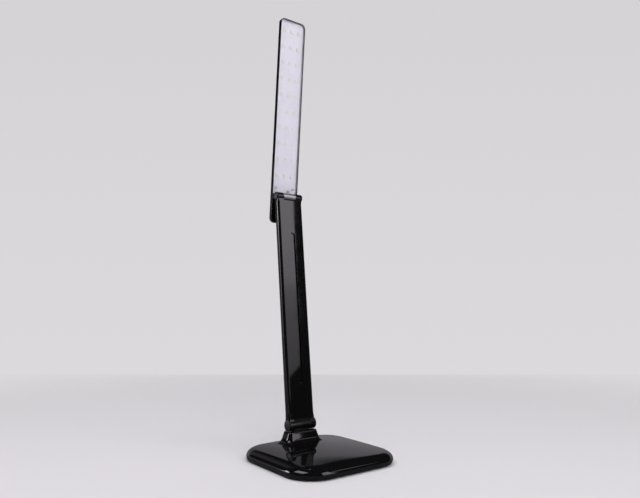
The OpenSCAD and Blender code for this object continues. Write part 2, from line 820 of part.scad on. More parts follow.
module at_upper() in_arm() translate([0, 0, arm_len]) children();

module upper_bolt() color("silver")
    at_upper() hinge_bolt(upper_bolt_r, upper_head_r, upper_head_h, upper_seat_x);

module upper_nut() color("silver")
    at_upper() hinge_nut(upper_bolt_r, upper_head_r, upper_head_h, upper_seat_x);

module upper_washers() color("goldenrod")
    at_upper() hinge_washers(upper_bolt_r, upper_r - 0.6, upper_washer_t, upper_knuckle_x);

module upper_caps() color("#0c0c0c")
    at_upper() hinge_caps(upper_r, upper_head_r, upper_cap_t,
        arm_w / 2 - upper_seat_x - upper_head_h - 0.3);

// ---------- light bar ----------

// Ring of the light bar at an inset and a depth behind the upper axis
function bar_ring(inset, y) =
    [for (p = ring2(bar_w / 2 - inset, bar_len / 2 - inset, bar_corner - inset, 6, 0))
        [p[0], y, p[1] + bar_mid]];

// The space inside the rim, as a plate between two depths, with a gap all round
module bar_plate(gap, y0, thickness)
    translate([0, y0 + thickness, bar_mid])
        rotate([90, 0, 0])
            linear_extrude(thickness)
                round_rect(bar_w - 2 * (bezel + gap), bar_len - 2 * (bezel + gap), bar_corner - bezel - gap);

module bar_shell() color("black")
    in_bar()
        difference() {
            union() {
                skin(concat(
                    [for (a = [90:-22.5:0])
                        bar_ring(bar_edge * (1 - cos(a)), bar_y + bar_t - bar_edge * (1 - sin(a)))],
                    [bar_ring(0, bar_y), bar_ring(bezel, bar_y), bar_ring(bezel, bar_floor)]
                ));
                for (sx = [-1, 1])
                    translate([sx * barrel_screw_x, 0, barrel_screw_s])
                        y_rod(2.6, bar_y + tail_t + barrel_foot_t, bar_floor + 0.5);
            }
            for (sx = [-1, 1]) {
                translate([sx * barrel_screw_x, 0, barrel_screw_s])
                    y_rod(small_screw_r + run_gap, bar_y, bar_screw_tip + hole_gap);
                translate([sx * board_screw_x, 0, board_screw_s])
                    y_rod(small_screw_r + run_gap, bar_y, bar_screw_tip + hole_gap);
            }
        }

module bar_tail_cover() color("black")
    in_bar() {
        difference() {
            intersection() {
                bar_plate(seat_gap, bar_y, tail_t);
                block([-bar_w, 0, -bar_len], [bar_w, 2 * bar_y, tail_top]);
            }
            block([-upper_barrel_w / 2 - seat_gap, 0, -upper_web_t / 2 - seat_gap],
                [upper_barrel_w / 2 + seat_gap, 2 * bar_y, upper_web_t / 2 + seat_gap]);
        }
        for (sx = [-1, 1])
            translate([sx * (bar_w / 2 - 8), 0, -bar_down + 9])
                y_rod(1.6, bar_y + tail_t - eps, bar_floor);
    }

module hinge_barrel() color("silver")
    in_bar()
        difference() {
            union() {
                x_rod(upper_r - seat_gap, -upper_barrel_w / 2, upper_barrel_w / 2);
                block([-upper_barrel_w / 2, 0, -upper_web_t / 2],
                    [upper_barrel_w / 2, bar_y + tail_t + barrel_foot_t, upper_web_t / 2]);
                block([-upper_barrel_w / 2, bar_y + tail_t, -barrel_foot_down],
                    [upper_barrel_w / 2, bar_y + tail_t + barrel_foot_t, upper_web_t / 2]);
            }
            x_rod(upper_bolt_r + run_gap, -arm_w, arm_w);
            for (sx = [-1, 1])
                translate([sx * barrel_screw_x, 0, barrel_screw_s]) {
                    y_rod(small_screw_r + hole_gap, bar_y, bar_y + bar_t);
                    y_rod(small_head_r + seat_gap, bar_y, barrel_head_y);
                }
        }

module barrel_screws() color("dimgray")
    in_bar()
        for (sx = [-1, 1])
            translate([sx * barrel_screw_x, barrel_head_y, barrel_screw_s])
                rotate([90, 0, 0])
                    screw(small_screw_r, bar_screw_tip - barrel_head_y, small_head_r, 0.65);

board_lo = tail_top + 0.4;
board_hi = bar_up - bezel - board_gap;
board_screw_x = 14;
led_wire_x = upper_barrel_w / 2 - 1.6;               // the wires rise over the +X end of the barrel
board_screw_s = 13;

module led_board() color("white")
    in_bar()
        difference() {
            intersection() {
                bar_plate(board_gap, board_y, led_board_t);
                block([-bar_w, 0, board_lo], [bar_w, 2 * bar_floor, board_hi + 1]);
            }
            for (sx = [-1, 1])
                translate([sx * board_screw_x, 0, board_screw_s])
                    y_rod(small_screw_r + hole_gap, bar_y, bar_floor + 1);
        }

module leds() color("#f4f0d8")
    in_bar()
        for (row = [0:led_rows - 1], col = [0:led_cols - 1])
            translate([
                (col - (led_cols - 1) / 2) * led_col_pitch,
                board_y,
                led_first + row * led_row_pitch
            ])
                difference() {
                    block([-led_side / 2, -led_h, -led_side / 2], [led_side / 2, 0, led_side / 2]);
                    y_rod(led_side * 0.36, -led_h - 1, -led_h * 0.6);
                }

module led_board_screws() color("silver")
    in_bar()
        for (sx = [-1, 1])
            translate([sx * board_screw_x, board_y, board_screw_s])
                rotate([90, 0, 0])
                    screw(small_screw_r, bar_screw_tip - board_y, small_head_r, 0.8);

module led_wires() color("firebrick")
    in_bar()
        for (x = [led_wire_x - 3, led_wire_x])
            translate([x, 0, 0])
                wire([
                    [0, board_y - 0.7, 11],
                    [0, board_y - 0.75, 7],
                    [0, board_y - 0.7, upper_web_t / 2 + 0.7]
                ], 0.55);

module clear_window() color([0.9, 0.95, 1, 0.3])
    in_bar()
        intersection() {
            bar_plate(seat_gap, window_y, window_t);
            block([-bar_w, 0, tail_top + seat_gap], [bar_w, 2 * bar_y, bar_up]);
        }

base_cover();
base_plate();
grip_pad();
cover_screws();
ballast();
hinge_post();
post_screws();
touch_board();
touch_board_screws();
touch_pads();
power_board();
dc_inlet();
board_wire();
supply_wire();
arm_front();
arm_back();
arm_screws();
arm_plugs();
arm_wire();
lower_bolt();
lower_nut();
lower_washers();
lower_caps();
upper_bolt();
upper_nut();
upper_washers();
upper_caps();
bar_shell();
bar_tail_cover();
hinge_barrel();
barrel_screws();
led_board();
leds();
led_board_screws();
led_wires();
clear_window();
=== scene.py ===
# %% [markdown]
# # A folding desk lamp
#
# The lamp has three moving parts: a domed base, a slim arm and a light bar that folds down over
# the arm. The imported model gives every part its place. This script gives the parts their finish:
# it models the moulded shells finely, and it makes a material for each surface.

# %% The frame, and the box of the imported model
import json
import math
import bmesh
import bpy
from mathutils import Matrix, Vector


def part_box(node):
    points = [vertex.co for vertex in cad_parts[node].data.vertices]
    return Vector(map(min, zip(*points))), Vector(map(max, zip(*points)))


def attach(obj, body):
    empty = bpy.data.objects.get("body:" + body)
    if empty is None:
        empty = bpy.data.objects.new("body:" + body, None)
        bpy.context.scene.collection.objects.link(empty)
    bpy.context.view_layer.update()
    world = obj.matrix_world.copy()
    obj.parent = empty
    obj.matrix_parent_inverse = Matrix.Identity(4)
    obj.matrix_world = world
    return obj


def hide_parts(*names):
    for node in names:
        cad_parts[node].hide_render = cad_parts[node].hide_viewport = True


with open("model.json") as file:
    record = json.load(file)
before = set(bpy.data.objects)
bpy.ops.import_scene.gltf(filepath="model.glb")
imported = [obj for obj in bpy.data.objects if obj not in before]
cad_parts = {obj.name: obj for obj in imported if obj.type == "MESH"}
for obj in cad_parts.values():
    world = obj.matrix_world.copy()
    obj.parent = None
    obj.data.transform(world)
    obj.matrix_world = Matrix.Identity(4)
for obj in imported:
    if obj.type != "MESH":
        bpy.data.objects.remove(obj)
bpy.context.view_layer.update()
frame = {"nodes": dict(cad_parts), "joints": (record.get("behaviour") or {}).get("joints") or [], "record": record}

nodes = frame["nodes"]
print("packed nodes:", len(nodes))

# %% [markdown]
# ## Working in millimetres
#
# Each piece is drawn in millimetres, upright in its own frame, and is then carried to the lamp.
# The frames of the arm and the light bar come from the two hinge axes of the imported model.

# %% Frames of the arm and the light bar
MM = 0.001
axis_of = {joint["name"]: Vector(joint["pos_m"]) / MM for joint in frame["joints"]}
lower_axis = axis_of["arm_tilt"]
upper_axis = axis_of["bar_fold"]
arm_len = (upper_axis - lower_axis).length
arm_lean = math.atan2(upper_axis.y - lower_axis.y, upper_axis.z - lower_axis.z)
bar_lean = math.radians(4.5)

IN_ARM = Matrix.Translation(lower_axis) @ Matrix.Rotation(-arm_lean, 4, "X")
IN_BAR = Matrix.Translation(upper_axis) @ Matrix.Rotation(bar_lean, 4, "X")
print(f"arm {arm_len:.1f} mm long, leaning {math.degrees(arm_lean):.2f} degrees")

# %% [markdown]
# ## Camera and stage
#
# The camera stands low in front of the lamp, a little to its left. Gloss black shows little but
# what it mirrors, so the stage matters as much as the paint: a pale floor and a pale wall behind
# the lamp give the base its grey sheen, and the dark side of the room keeps the fronts black.

# %% Camera
def add_object(name, data):
    added = bpy.data.objects.new(name, data)
    bpy.context.scene.collection.objects.link(added)
    return added


camera = add_object("camera", bpy.data.cameras.new("camera"))
camera.data.sensor_width = 36.0
camera.data.lens = 32.41
bpy.context.scene.camera = camera
UP = Vector((0.0, 0.0, 1.0))
camera_place = Vector((-0.4377, -0.5865, 0.1862))
heading = Vector((0.5996, 0.8003, 0.0)).normalized()
pitch_up = math.radians(5.89)
look = heading * math.cos(pitch_up) + UP * math.sin(pitch_up)
camera.location = camera_place
camera.rotation_euler = look.to_track_quat("-Z", "Y").to_euler()
print("camera", [round(c, 3) for c in camera_place])


# %% [markdown]
# ## Materials as small node trees
#
# Each material starts from the Principled shader with its plain numbers on the shader's own
# sockets. Grain, flow marks and wear are added by noise in Object coordinates, which keep their
# scale and place whichever way a piece lies.

# %% Helpers for node trees
def feed(tree, node, inputs):
    """Give each input, by name or number, a link, or a plain number or colour."""
    for key, value in dict(inputs).items():
        if isinstance(value, bpy.types.NodeSocket):
            tree.links.new(value, node.inputs[key])
        else:
            node.inputs[key].default_value = value


def new_material(name, color, roughness, metallic=0.0):
    """Material with a Principled shader; returns the material, its node tree and the shader."""
    material = bpy.data.materials.new(name)
    material.use_nodes = True
    tree = material.node_tree
    shader = tree.nodes["Principled BSDF"]
    feed(tree, shader, {"Base Color": (*color, 1.0), "Roughness": roughness, "Metallic": metallic})
    return material, tree, shader


def add_node(tree, kind, inputs=(), **settings):
    node = tree.nodes.new(kind)
    for name, value in settings.items():
        setattr(node, name, value)
    feed(tree, node, inputs)
    return node


def output(tree, kind, name, inputs=(), **settings):
    return add_node(tree, kind, inputs, **settings).outputs[name]


def object_place(tree, stretch=(1.0, 1.0, 1.0)):
    """Object coordinates through a Mapping node."""
    place = output(tree, "ShaderNodeTexCoord", "Object")
    return output(tree, "ShaderNodeMapping", "Vector", {"Vector": place, "Scale": stretch})


def noise(tree, place, per_metre, detail=3.0, roughness=0.5):
    """Noise with that many cells in a metre."""
    given = {"Vector": place, "Scale": per_metre, "Detail": detail, "Roughness": roughness}
    return output(tree, "ShaderNodeTexNoise", "Fac", given)


def spread(tree, value, low, high, start=0.35, end=0.65, smooth=False):
    """The value between start and end, spread from low to high."""
    limits = {"Value": value, "From Min": start, "From Max": end, "To Min": low, "To Max": high}
    kind = "SMOOTHSTEP" if smooth else "LINEAR"
    return output(tree, "ShaderNodeMapRange", "Result", limits, interpolation_type=kind)


def product(tree, first, second):
    return output(tree, "ShaderNodeMath", "Value", {0: first, 1: second}, operation="MULTIPLY")


def reach(tree, vector, direction):
    """How far a vector reaches along a direction."""
    return output(tree, "ShaderNodeVectorMath", "Value", {0: vector, 1: direction}, operation="DOT_PRODUCT")


def part_of(tree, vector, letter):
    """The X, Y or Z of a vector."""
    return output(tree, "ShaderNodeSeparateXYZ", letter, {"Vector": vector})


def two_tone(tree, value, first, second):
    """Colour that runs from first to second as the value runs from 0 to 1."""
    ramp = add_node(tree, "ShaderNodeValToRGB", {"Fac": value})
    for element, color in zip(ramp.color_ramp.elements, (first, second)):
        element.color = (*color, 1.0)
    return ramp.outputs["Color"]


def bump(tree, shader, height, strength, distance):
    """Bump of that many metres under the shader."""
    given = {"Strength": strength, "Distance": distance, "Height": height}
    feed(tree, shader, {"Normal": output(tree, "ShaderNodeBump", "Normal", given)})


# %% [markdown]
# ### Gloss black
#
# The shells are moulded in black ABS in a polished tool, so they need no paint. Real gloss is
# never quite even: the melt leaves a faint wave, and handling leaves a haze. A slow noise bends
# the normal a little, and a second one lets the roughness drift.

# %% Gloss black
def gloss_black():
    material, tree, shader = new_material("gloss_black", (0.0036, 0.0035, 0.0038), 0.03)
    place = object_place(tree)
    haze = spread(tree, noise(tree, place, 26.0, 5.0, 0.62), 0.018, 0.045)
    feed(tree, shader, {"Roughness": haze, "IOR": 1.52})
    bump(tree, shader, noise(tree, place, 40.0, 1.0), 0.025, 0.0003)
    return material


# %% [markdown]
# ### Satin black, rubber and foam
#
# The bottom plate and the power socket come from an etched tool, which leaves a fine, dull grain.
# The grip pad under the base is closed-cell foam; its cells show as tiny pits, with painted shade in each.

# %% Satin and foam
def satin(name, color, roughness, per_metre, depth):
    """Plain colour with grain of that many cells in a metre, and a roughness that drifts."""
    material, tree, shader = new_material(name, color, roughness)
    place = object_place(tree)
    drift = spread(tree, noise(tree, place, 40.0), roughness - 0.08, roughness + 0.08)
    feed(tree, shader, {"Roughness": drift})
    bump(tree, shader, noise(tree, place, per_metre, 4.0, 0.6), 0.5, depth)
    return material


def foam():
    material, tree, shader = new_material("foam", (0.03, 0.03, 0.032), 0.85)
    given = {"Vector": object_place(tree), "Scale": 1400.0}
    cells = output(tree, "ShaderNodeTexVoronoi", "Distance", given)
    # Painted shade: the colour is darkest in the middle of each pit
    feed(tree, shader, {"Base Color": two_tone(tree, cells, (0.016, 0.016, 0.017), (0.05, 0.05, 0.053))})
    bump(tree, shader, cells, 0.6, 0.0003)
    return material


# %% [markdown]
# ### Metals
#
# The silver barrel is turned and plated in satin nickel. Turning leaves rings round its axis, so
# its noise is squeezed along X. Screws and bolts are plain zinc-plated steel.

# %% Metals
def metal(name, color, roughness, stretch, per_metre, depth):
    material, tree, shader = new_material(name, color, roughness, metallic=1.0)
    place = object_place(tree, stretch)
    marks = noise(tree, place, per_metre, 4.0, 0.6)
    drift = spread(tree, marks, roughness - 0.07, roughness + 0.07)
    tone = two_tone(tree, marks, [c * 0.86 for c in color], [min(1.0, c * 1.06) for c in color])
    feed(tree, shader, {"Roughness": drift, "Base Color": tone})
    bump(tree, shader, marks, 0.25, depth)
    return material


# %% [markdown]
# ### Boards, wires and lights
#
# The light board is coated white, so that it throws light forward. Each light is a small white
# package with a pale yellow resin window and tinned feet.

# %% Boards, wires and lights
def coated_board(name, color, second, roughness):
    """Board with the weave of its glass cloth under the coat."""
    material, tree, shader = new_material(name, color, roughness)
    place = object_place(tree)
    feed(tree, shader, {"Base Color": two_tone(tree, noise(tree, place, 120.0, 4.0), second, color)})
    bump(tree, shader, noise(tree, place, 2400.0, 1.0), 0.25, 0.00006)
    return material


def clear_plastic():
    material, tree, shader = new_material("clear", (0.93, 0.93, 0.97), 0.04)
    haze = spread(tree, noise(tree, object_place(tree), 30.0, 4.0), 0.10, 0.15)
    feed(tree, shader, {"Alpha": haze, "IOR": 1.49})
    bump(tree, shader, noise(tree, object_place(tree), 45.0, 1.0), 0.05, 0.0003)
    return material


satins = {
    "black_plastic": ((0.013, 0.013, 0.014), 0.42, 1500.0, 0.00008),
    "rubber": ((0.02, 0.02, 0.021), 0.62, 900.0, 0.0001),
    "ballast_grey": ((0.16, 0.165, 0.17), 0.5, 500.0, 0.0002),
    "post_black": ((0.005, 0.0055, 0.004), 0.12, 700.0, 0.000008),
    "wire": ((0.14, 0.012, 0.010), 0.38, 1200.0, 0.00004),
    "led_cream": ((0.86, 0.86, 0.84), 0.4, 2500.0, 0.00002),
    "led_resin": ((0.84, 0.81, 0.64), 0.25, 1800.0, 0.00001),
}
metals = {
    "steel": ((0.50, 0.50, 0.51), 0.32, (1.0, 1.0, 1.0), 700.0, 0.00004),
    "brass": ((0.34, 0.27, 0.17), 0.4, (8.0, 1.0, 1.0), 600.0, 0.00003),
    "silver": ((0.56, 0.56, 0.555), 0.46, (14.0, 1.0, 1.0), 260.0, 0.00005),
}
boards = {
    "board_green": ((0.012, 0.10, 0.035), (0.008, 0.07, 0.025), 0.3),
    "board_white": ((0.83, 0.82, 0.89), (0.78, 0.77, 0.85), 0.35),
}
finish = {"gloss_black": gloss_black(), "foam": foam(), "clear": clear_plastic()}
for make, table in ((satin, satins), (metal, metals), (coated_board, boards)):
    finish.update({name: make(name, *values) for name, values in table.items()})
print("materials:", len(finish))

# %% [markdown]
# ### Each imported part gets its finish
#
# The record says which finish each part has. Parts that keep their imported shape, most of them
# hidden inside the housings, only need that finish on their own material slots.

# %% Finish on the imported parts
slot_of = {part["node"]: part["material_slot"] for part in frame["record"]["subparts"]}
for node_name, node_object in nodes.items():
    for material_slot in node_object.material_slots:
        material_slot.material = finish[slot_of[node_name]]
print("dressed:", len(slot_of))


# %% [markdown]
# ## Drawing pieces
#
# A form with a changing section is a skin over a list of rings. A form with plain sections is
# built from prisms and rods that are joined and cut, and a Bevel rounds its edges. Smooth shading
# alone would bend every mirror image right across a flat face, so the flats keep their own
# normal, and the rounded edges take over the normal of the flat that they run into.

# %% Helpers for meshes
def new_piece(name, points, faces):
    mesh = bpy.data.meshes.new(name)
    mesh.from_pydata([tuple(p) for p in points], [], faces)
    mesh.update()
    return add_object(name, mesh)


def rounded_outline(half_w, half_d, radius, steps, low_radius=None, middle=(0.0, 0.0)):
    """Round rectangle as points, counter-clockwise; the two corners at low Y may differ."""
    at_low = radius if low_radius is None else low_radius
    corners = [(1, 1, radius), (-1, 1, radius), (-1, -1, at_low), (1, -1, at_low)]
    outline = []
    for turns, (sx, sy, radius) in enumerate(corners):
        for step in range(steps + 1):
            angle = math.pi / 2 * (turns + step / steps)
            outline.append((middle[0] + sx * (half_w - radius) + radius * math.cos(angle),
                            middle[1] + sy * (half_d - radius) + radius * math.sin(angle)))
    return outline


def skin(name, rings, joined=False):
    """Skin over rings of equally many points; an open one gets a face at each end."""
    count, size = len(rings), len(rings[0])
    points = [p for ring in rings for p in ring]
    faces = []
    for k in range(count if joined else count - 1):
        below, above = k * size, (k + 1) % count * size
        for i in range(size):
            j = (i + 1) % size
            faces.append((below + i, below + j, above + j, above + i))
    if not joined:
        faces.append(tuple(reversed(range(size))))
        faces.append(tuple((count - 1) * size + i for i in range(size)))
    return new_piece(name, points, faces)


def level(ring, z):
    return [(x, y, z) for x, y in ring]


def prism(name, outline, low, high):
    return skin(name, [level(outline, low), level(outline, high)])


def block(name, half_w, low, high):
    """Block between two places in Y and Z, with the half width to either side."""
    (y0, z0), (y1, z1) = low, high
    return prism(name, [(-half_w, y0), (half_w, y0), (half_w, y1), (-half_w, y1)], z0, z1)


def rod(name, radius, low, high, centre=(0.0, 0.0, 0.0), along="X", steps=96):
    """Rod along X or Y between two places, about a centre."""
    turned = [(radius * math.cos(2 * math.pi * i / steps), radius * math.sin(2 * math.pi * i / steps))
              for i in range(steps)]
    piece = prism(name, turned, low, high)
    turn = Matrix.Rotation(math.pi / 2, 4, "Y") if along == "X" else Matrix.Rotation(-math.pi / 2, 4, "X")
    piece.data.transform(Matrix.Translation(centre) @ turn)
    return piece


def side_prism(name, outline, half_w):
    """Prism drawn in Y and Z, with the half width to either side along X."""
    piece = prism(name, outline, -half_w, half_w)
    piece.data.transform(Matrix(((0, 0, 1, 0), (1, 0, 0, 0), (0, 1, 0, 0), (0, 0, 0, 1))))
    return piece


def four_corners(x, y):
    return [(sx * x, sy * y) for sx in (-1, 1) for sy in (-1, 1)]


def quarter(steps):
    """Steps of a quarter turn as pairs of 1 - cos and 1 - sin."""
    turns = [math.pi / 2 * step / steps for step in range(steps + 1)]
    return [(1 - math.cos(turn), 1 - math.sin(turn)) for turn in turns]


def bake_modifiers(piece):
    """The piece's modifiers become its mesh."""
    graph = bpy.context.evaluated_depsgraph_get()
    mesh = bpy.data.meshes.new_from_object(piece.evaluated_get(graph))
    piece.modifiers.clear()
    piece.data = mesh


def tidy_mesh(mesh, nearer=0.05):
    """Merge points that a cut has left next to each other, and faces that lie in one plane."""
    work = bmesh.new()
    work.from_mesh(mesh)
    bmesh.ops.remove_doubles(work, verts=work.verts, dist=nearer)
    bmesh.ops.dissolve_degenerate(work, edges=work.edges, dist=nearer)
    bmesh.ops.dissolve_limit(work, verts=work.verts, edges=work.edges, angle_limit=math.radians(0.05))
    work.to_mesh(mesh)
    work.free()


def combine(piece, tools, how="DIFFERENCE", tidy=True):
    """Cut the tools out of the piece, or join them to it."""
    for tool in tools:
        modifier = piece.modifiers.new(how, "BOOLEAN")
        modifier.operation = how
        modifier.solver = "EXACT"
        modifier.object = tool
    bake_modifiers(piece)
    if tidy:
        tidy_mesh(piece.data)
    for tool in tools:
        bpy.data.objects.remove(tool)


def keep_flats(mesh, place, joined_within=50.0):
    """Set normals: flats along an axis of their place keep theirs, and other faces blend smoothly."""
    near = math.cos(math.radians(joined_within))
    faces = [(face.normal.copy(), face.area) for face in mesh.polygons]
    upright = place.to_3x3().transposed()
    is_flat = [max(abs(c) for c in upright @ normal) > 0.99999 for normal, area in faces]
    around = [[] for vertex in mesh.vertices]
    for face in mesh.polygons:
        for vertex in face.vertices:
            around[vertex].append(face.index)
    normals = []
    for face in mesh.polygons:
        own = faces[face.index][0]
        for vertex in face.vertices:
            joined = [k for k in around[vertex] if faces[k][0].dot(own) > near]
            flats = [faces[k][0] for k in joined if is_flat[k]]
            mixed = sum((faces[k][0] * faces[k][1] for k in joined), own * 1e-12).normalized()
            normals.append(max(flats, key=own.dot) if flats else mixed)
    mesh.shade_smooth()
    mesh.normals_split_custom_set(normals)


def soften(piece, width, segments=3, above=38.0):
    """Round the outer edges that are sharper than that many degrees."""
    work = bmesh.new()
    work.from_mesh(piece.data)
    weight = work.edges.layers.float.new("bevel_weight_edge")
    for edge in work.edges:
        edge[weight] = float(edge.calc_face_angle_signed(0.0) > math.radians(above))
    work.to_mesh(piece.data)
    work.free()
    bevel = piece.modifiers.new("soften", "BEVEL")
    bevel.width = width
    bevel.segments = segments
    bevel.limit_method = "WEIGHT"
    bake_modifiers(piece)


def settle(piece, place, body, slot, replaced=(), material=None, smooth=None):
    """Carry a finished piece to the lamp, give it its finish and let it ride on its body."""
    piece.data.transform(Matrix.Scale(MM, 4) @ place)
    piece.data.materials.clear()
    piece.data.materials.append(material or finish[slot])
    if smooth is None:
        keep_flats(piece.data, place)
    else:
        piece.data.shade_smooth()
        piece.data.set_sharp_from_angle(angle=math.radians(smooth))
    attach(piece, body)
    if replaced:
        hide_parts(*replaced)
    print(f"{piece.name}: {len(piece.data.polygons)} faces")


# %% [markdown]
# ## The base cover
#
# The cover is one moulding: a low dome, and a neck that carries the lower hinge. It is a skin over
# rings that roll over the edge along a quarter ellipse, glide from the outline of the base to the
# foot of the neck, and rise through a fillet and up the neck's slope to the window of the hinge
# post. The inside is the same list, set in by the wall. Last, the hole and the round seat of the
# power inlet are cut through the rear edge.

# %% Sizes of the base cover
base_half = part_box("base_cover")[1].x / MM
plate_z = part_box("grip_pad")[1].z / MM
neck_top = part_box("base_cover")[1].z / MM
neck_y = lower_axis.y
base_corner, rim_z, under_run = 37.0, 5.6, 3.0
edge_run, edge_rise, crown_rise = 12.0, 7.8, 4.4
base_wall = 2.2
neck_half, neck_corner = (21.0, 8.5), 4.0
neck_slope, neck_fillet = math.radians(20.0), 9.0
neck_front_share, neck_lip = 0.88, 0.4
window_half = (13.0, 4.4)
print(f"base {2 * base_half:.0f} mm square, neck {neck_top:.1f} mm tall")


# %% Rings of the base cover
def side_ring(half_w, half_d, radius, middle=(0.0, 0.0), arc=20, side=10):
    """Round rectangle with points along its sides too."""
    corners = rounded_outline(half_w, half_d, radius, arc, middle=middle)
    ring = []
    for corner in range(4):
        start = corner * (arc + 1)
        last, following = corners[start + arc], corners[(start + arc + 1) % len(corners)]
        ring += corners[start:start + arc + 1]
        ring += [(last[0] + (following[0] - last[0]) * i / (side + 1),
                  last[1] + (following[1] - last[1]) * i / (side + 1)) for i in range(1, side + 1)]
    return ring


def base_ring(depth):
    return side_ring(base_half - depth, base_half - depth, base_corner - depth)


def neck_ring(grow):
    deep = neck_half[1] + (grow * neck_front_share if grow > 0.0 else grow)
    radius = neck_corner + max(grow, 0.0) * neck_front_share
    return side_ring(neck_half[0] + grow, deep, radius, (0.0, neck_y))


def crown(x, y):
    return crown_rise * (1 - (x / base_half) ** 2) * (1 - (y / base_half) ** 2)


def outline_depth(x, y):
    """Distance inwards from the outline of the base."""
    qx = abs(x) - (base_half - base_corner)
    qy = abs(y) - (base_half - base_corner)
    return base_corner - math.hypot(max(qx, 0), max(qy, 0)) - min(max(qx, qy), 0)


def top_z(x, y):
    short = 1 - min(1.0, max(0.0, outline_depth(x, y) / edge_run))
    return rim_z + edge_rise * math.sqrt(1 - short ** 2) + crown(x, y)


neck_rise = neck_top - top_z(neck_half[0], neck_y)


def neck_profile(steps, slope_steps):
    """How far the neck stands out, and how high, from its foot up: a fillet, then the slope."""
    fillet_up = neck_fillet * (1 - math.sin(neck_slope))
    slope_out = (neck_rise - fillet_up) * math.tan(neck_slope)
    profile = []
    for step in range(steps + 1):
        angle = (math.pi / 2 - neck_slope) * step / steps
        profile.append((slope_out + neck_fillet * (math.cos(neck_slope) - math.sin(angle)),
                        neck_fillet * (1 - math.cos(angle))))
    for step in range(1, slope_steps + 1):
        share = step / slope_steps
        profile.append((slope_out * (1 - share), fillet_up + (neck_rise - fillet_up) * share))
    return profile


def cover_rings(grow, drop, edge_steps, dome_steps, neck_steps):
    """Rings over the edge, the dome and the neck, set in by grow and lowered by drop."""
    rings = []
    inset = -grow
    for inwards, short in quarter(edge_steps):
        rings.append([(x, y, rim_z + (edge_rise - drop + crown(x, y)) * (1 - short))
                      for x, y in base_ring(inset + (edge_run - inset) * inwards)])
    profile = neck_profile(neck_steps, 4)
    outer, inner = base_ring(edge_run), neck_ring(grow + profile[0][0])
    for step in range(1, dome_steps + 1):
        share = step / dome_steps
        ring = [(a[0] + (b[0] - a[0]) * share, a[1] + (b[1] - a[1]) * share) for a, b in zip(outer, inner)]
        rings.append([(x, y, top_z(x, y) - drop) for x, y in ring])
    for out, up in profile[1:]:
        rings.append([(x, y, top_z(x, y) - drop + (neck_top - top_z(x, y)) * up / neck_rise)
                      for x, y in neck_ring(grow + out)])
    return rings


# %% Build the base cover
under_rings = [level(base_ring(under_run + base_wall * 0.3), plate_z),
               level(base_ring(under_run), plate_z + 0.4)]
for inwards, short in quarter(8)[-2:0:-1]:
    under_rings.append(level(base_ring(under_run * inwards), rim_z - (rim_z - plate_z) * (1 - short)))
outside = cover_rings(0.0, 0.0, 18, 22, 16)
lip_rings = [level(neck_ring(-neck_lip * inwards), neck_top - neck_lip * short)
             for inwards, short in quarter(5)[1:]]
outside[-1] = level(neck_ring(neck_lip * math.tan(neck_slope)), neck_top - neck_lip)
window = side_ring(window_half[0], window_half[1], 1.0, (0.0, neck_y))
inside = cover_rings(-base_wall, base_wall, 6, 7, 6)
inside = [level(base_ring(under_run + base_wall), plate_z)] + inside
lip_rings += [level(window, neck_top), level(window, neck_top - base_wall)]
cover = skin("base_cover_shell", under_rings + outside + lip_rings + inside[::-1], joined=True)
inlet_middle = (0.0, 0.0, sum(corner.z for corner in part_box("dc_inlet")) / 2 / MM)
inlet_hole_r, seat_r, seat_deep = 2.85, 4.1, 1.2
combine(cover, [
    rod("inlet hole", inlet_hole_r, base_half - 3 * base_wall, base_half + 1, inlet_middle, "Y", 64),
    rod("inlet seat", seat_r, base_half - seat_deep, base_half + 1, inlet_middle, "Y", 64),
], tidy=False)
settle(cover, Matrix.Identity(4), "base", "gloss_black", ["base_cover"], smooth=40.0)

# %% [markdown]
# ## The hinge post
#
# A zinc casting stands on the ballast and comes up through the window of the neck, between the
# knuckles of the arm. It is a machine form, so a plate, a wedge and a rod are joined and bored.

# %% The hinge post
post_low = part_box("hinge_post")[0].z / MM
post_half, barrel_r, bolt_hole_r = 12.0, 5.0, 3.05
foot_half, foot_h, post_web, flare = (18.0, 12.0), 3.6, 2.0, 5.0
post_screw, post_hole_r = (14.0, 8.0), 1.7
foot_top = post_low + foot_h
post = rod("hinge_post_casting", barrel_r, -post_half, post_half, (0, 0, lower_axis.z), steps=160)
web_side = [(post_web + 2, foot_top - 0.5), (post_web, foot_top + flare), (post_web, lower_axis.z),
            (-post_web, lower_axis.z), (-post_web, foot_top + flare), (-post_web - 2, foot_top - 0.5)]
combine(post, [side_prism("web", web_side, post_half),
               prism("foot", rounded_outline(*foot_half, 3.0, 8), post_low, foot_top)], "UNION")
holes = [rod("bore", bolt_hole_r, -2 * post_half, 2 * post_half, (0, 0, lower_axis.z), steps=64)]
for middle in four_corners(*post_screw):
    outline = rounded_outline(post_hole_r, post_hole_r, post_hole_r - 0.001, 8, middle=middle)
    holes.append(prism("hole", outline, post_low - 1, foot_top + 1))
combine(post, holes)
soften(post, 0.4)
settle(post, Matrix.Translation((0, neck_y, 0)), "base", "post_black", ["hinge_post"])

# %% [markdown]
# ## The arm
#
# The arm is two shells screwed together from behind. The front shell carries the knuckles of
# both hinges and the long groove; the back shell is a lid. A prism joined to two rods would leave
# slivers where a fillet runs into a knuckle, so the outer form is one skin over rings that climb
# the arm. The room for the barrels, the groove and the parting are then cut away. Rounded edges
# matter most: on gloss black an edge is seen only by the thin line of light that it catches.

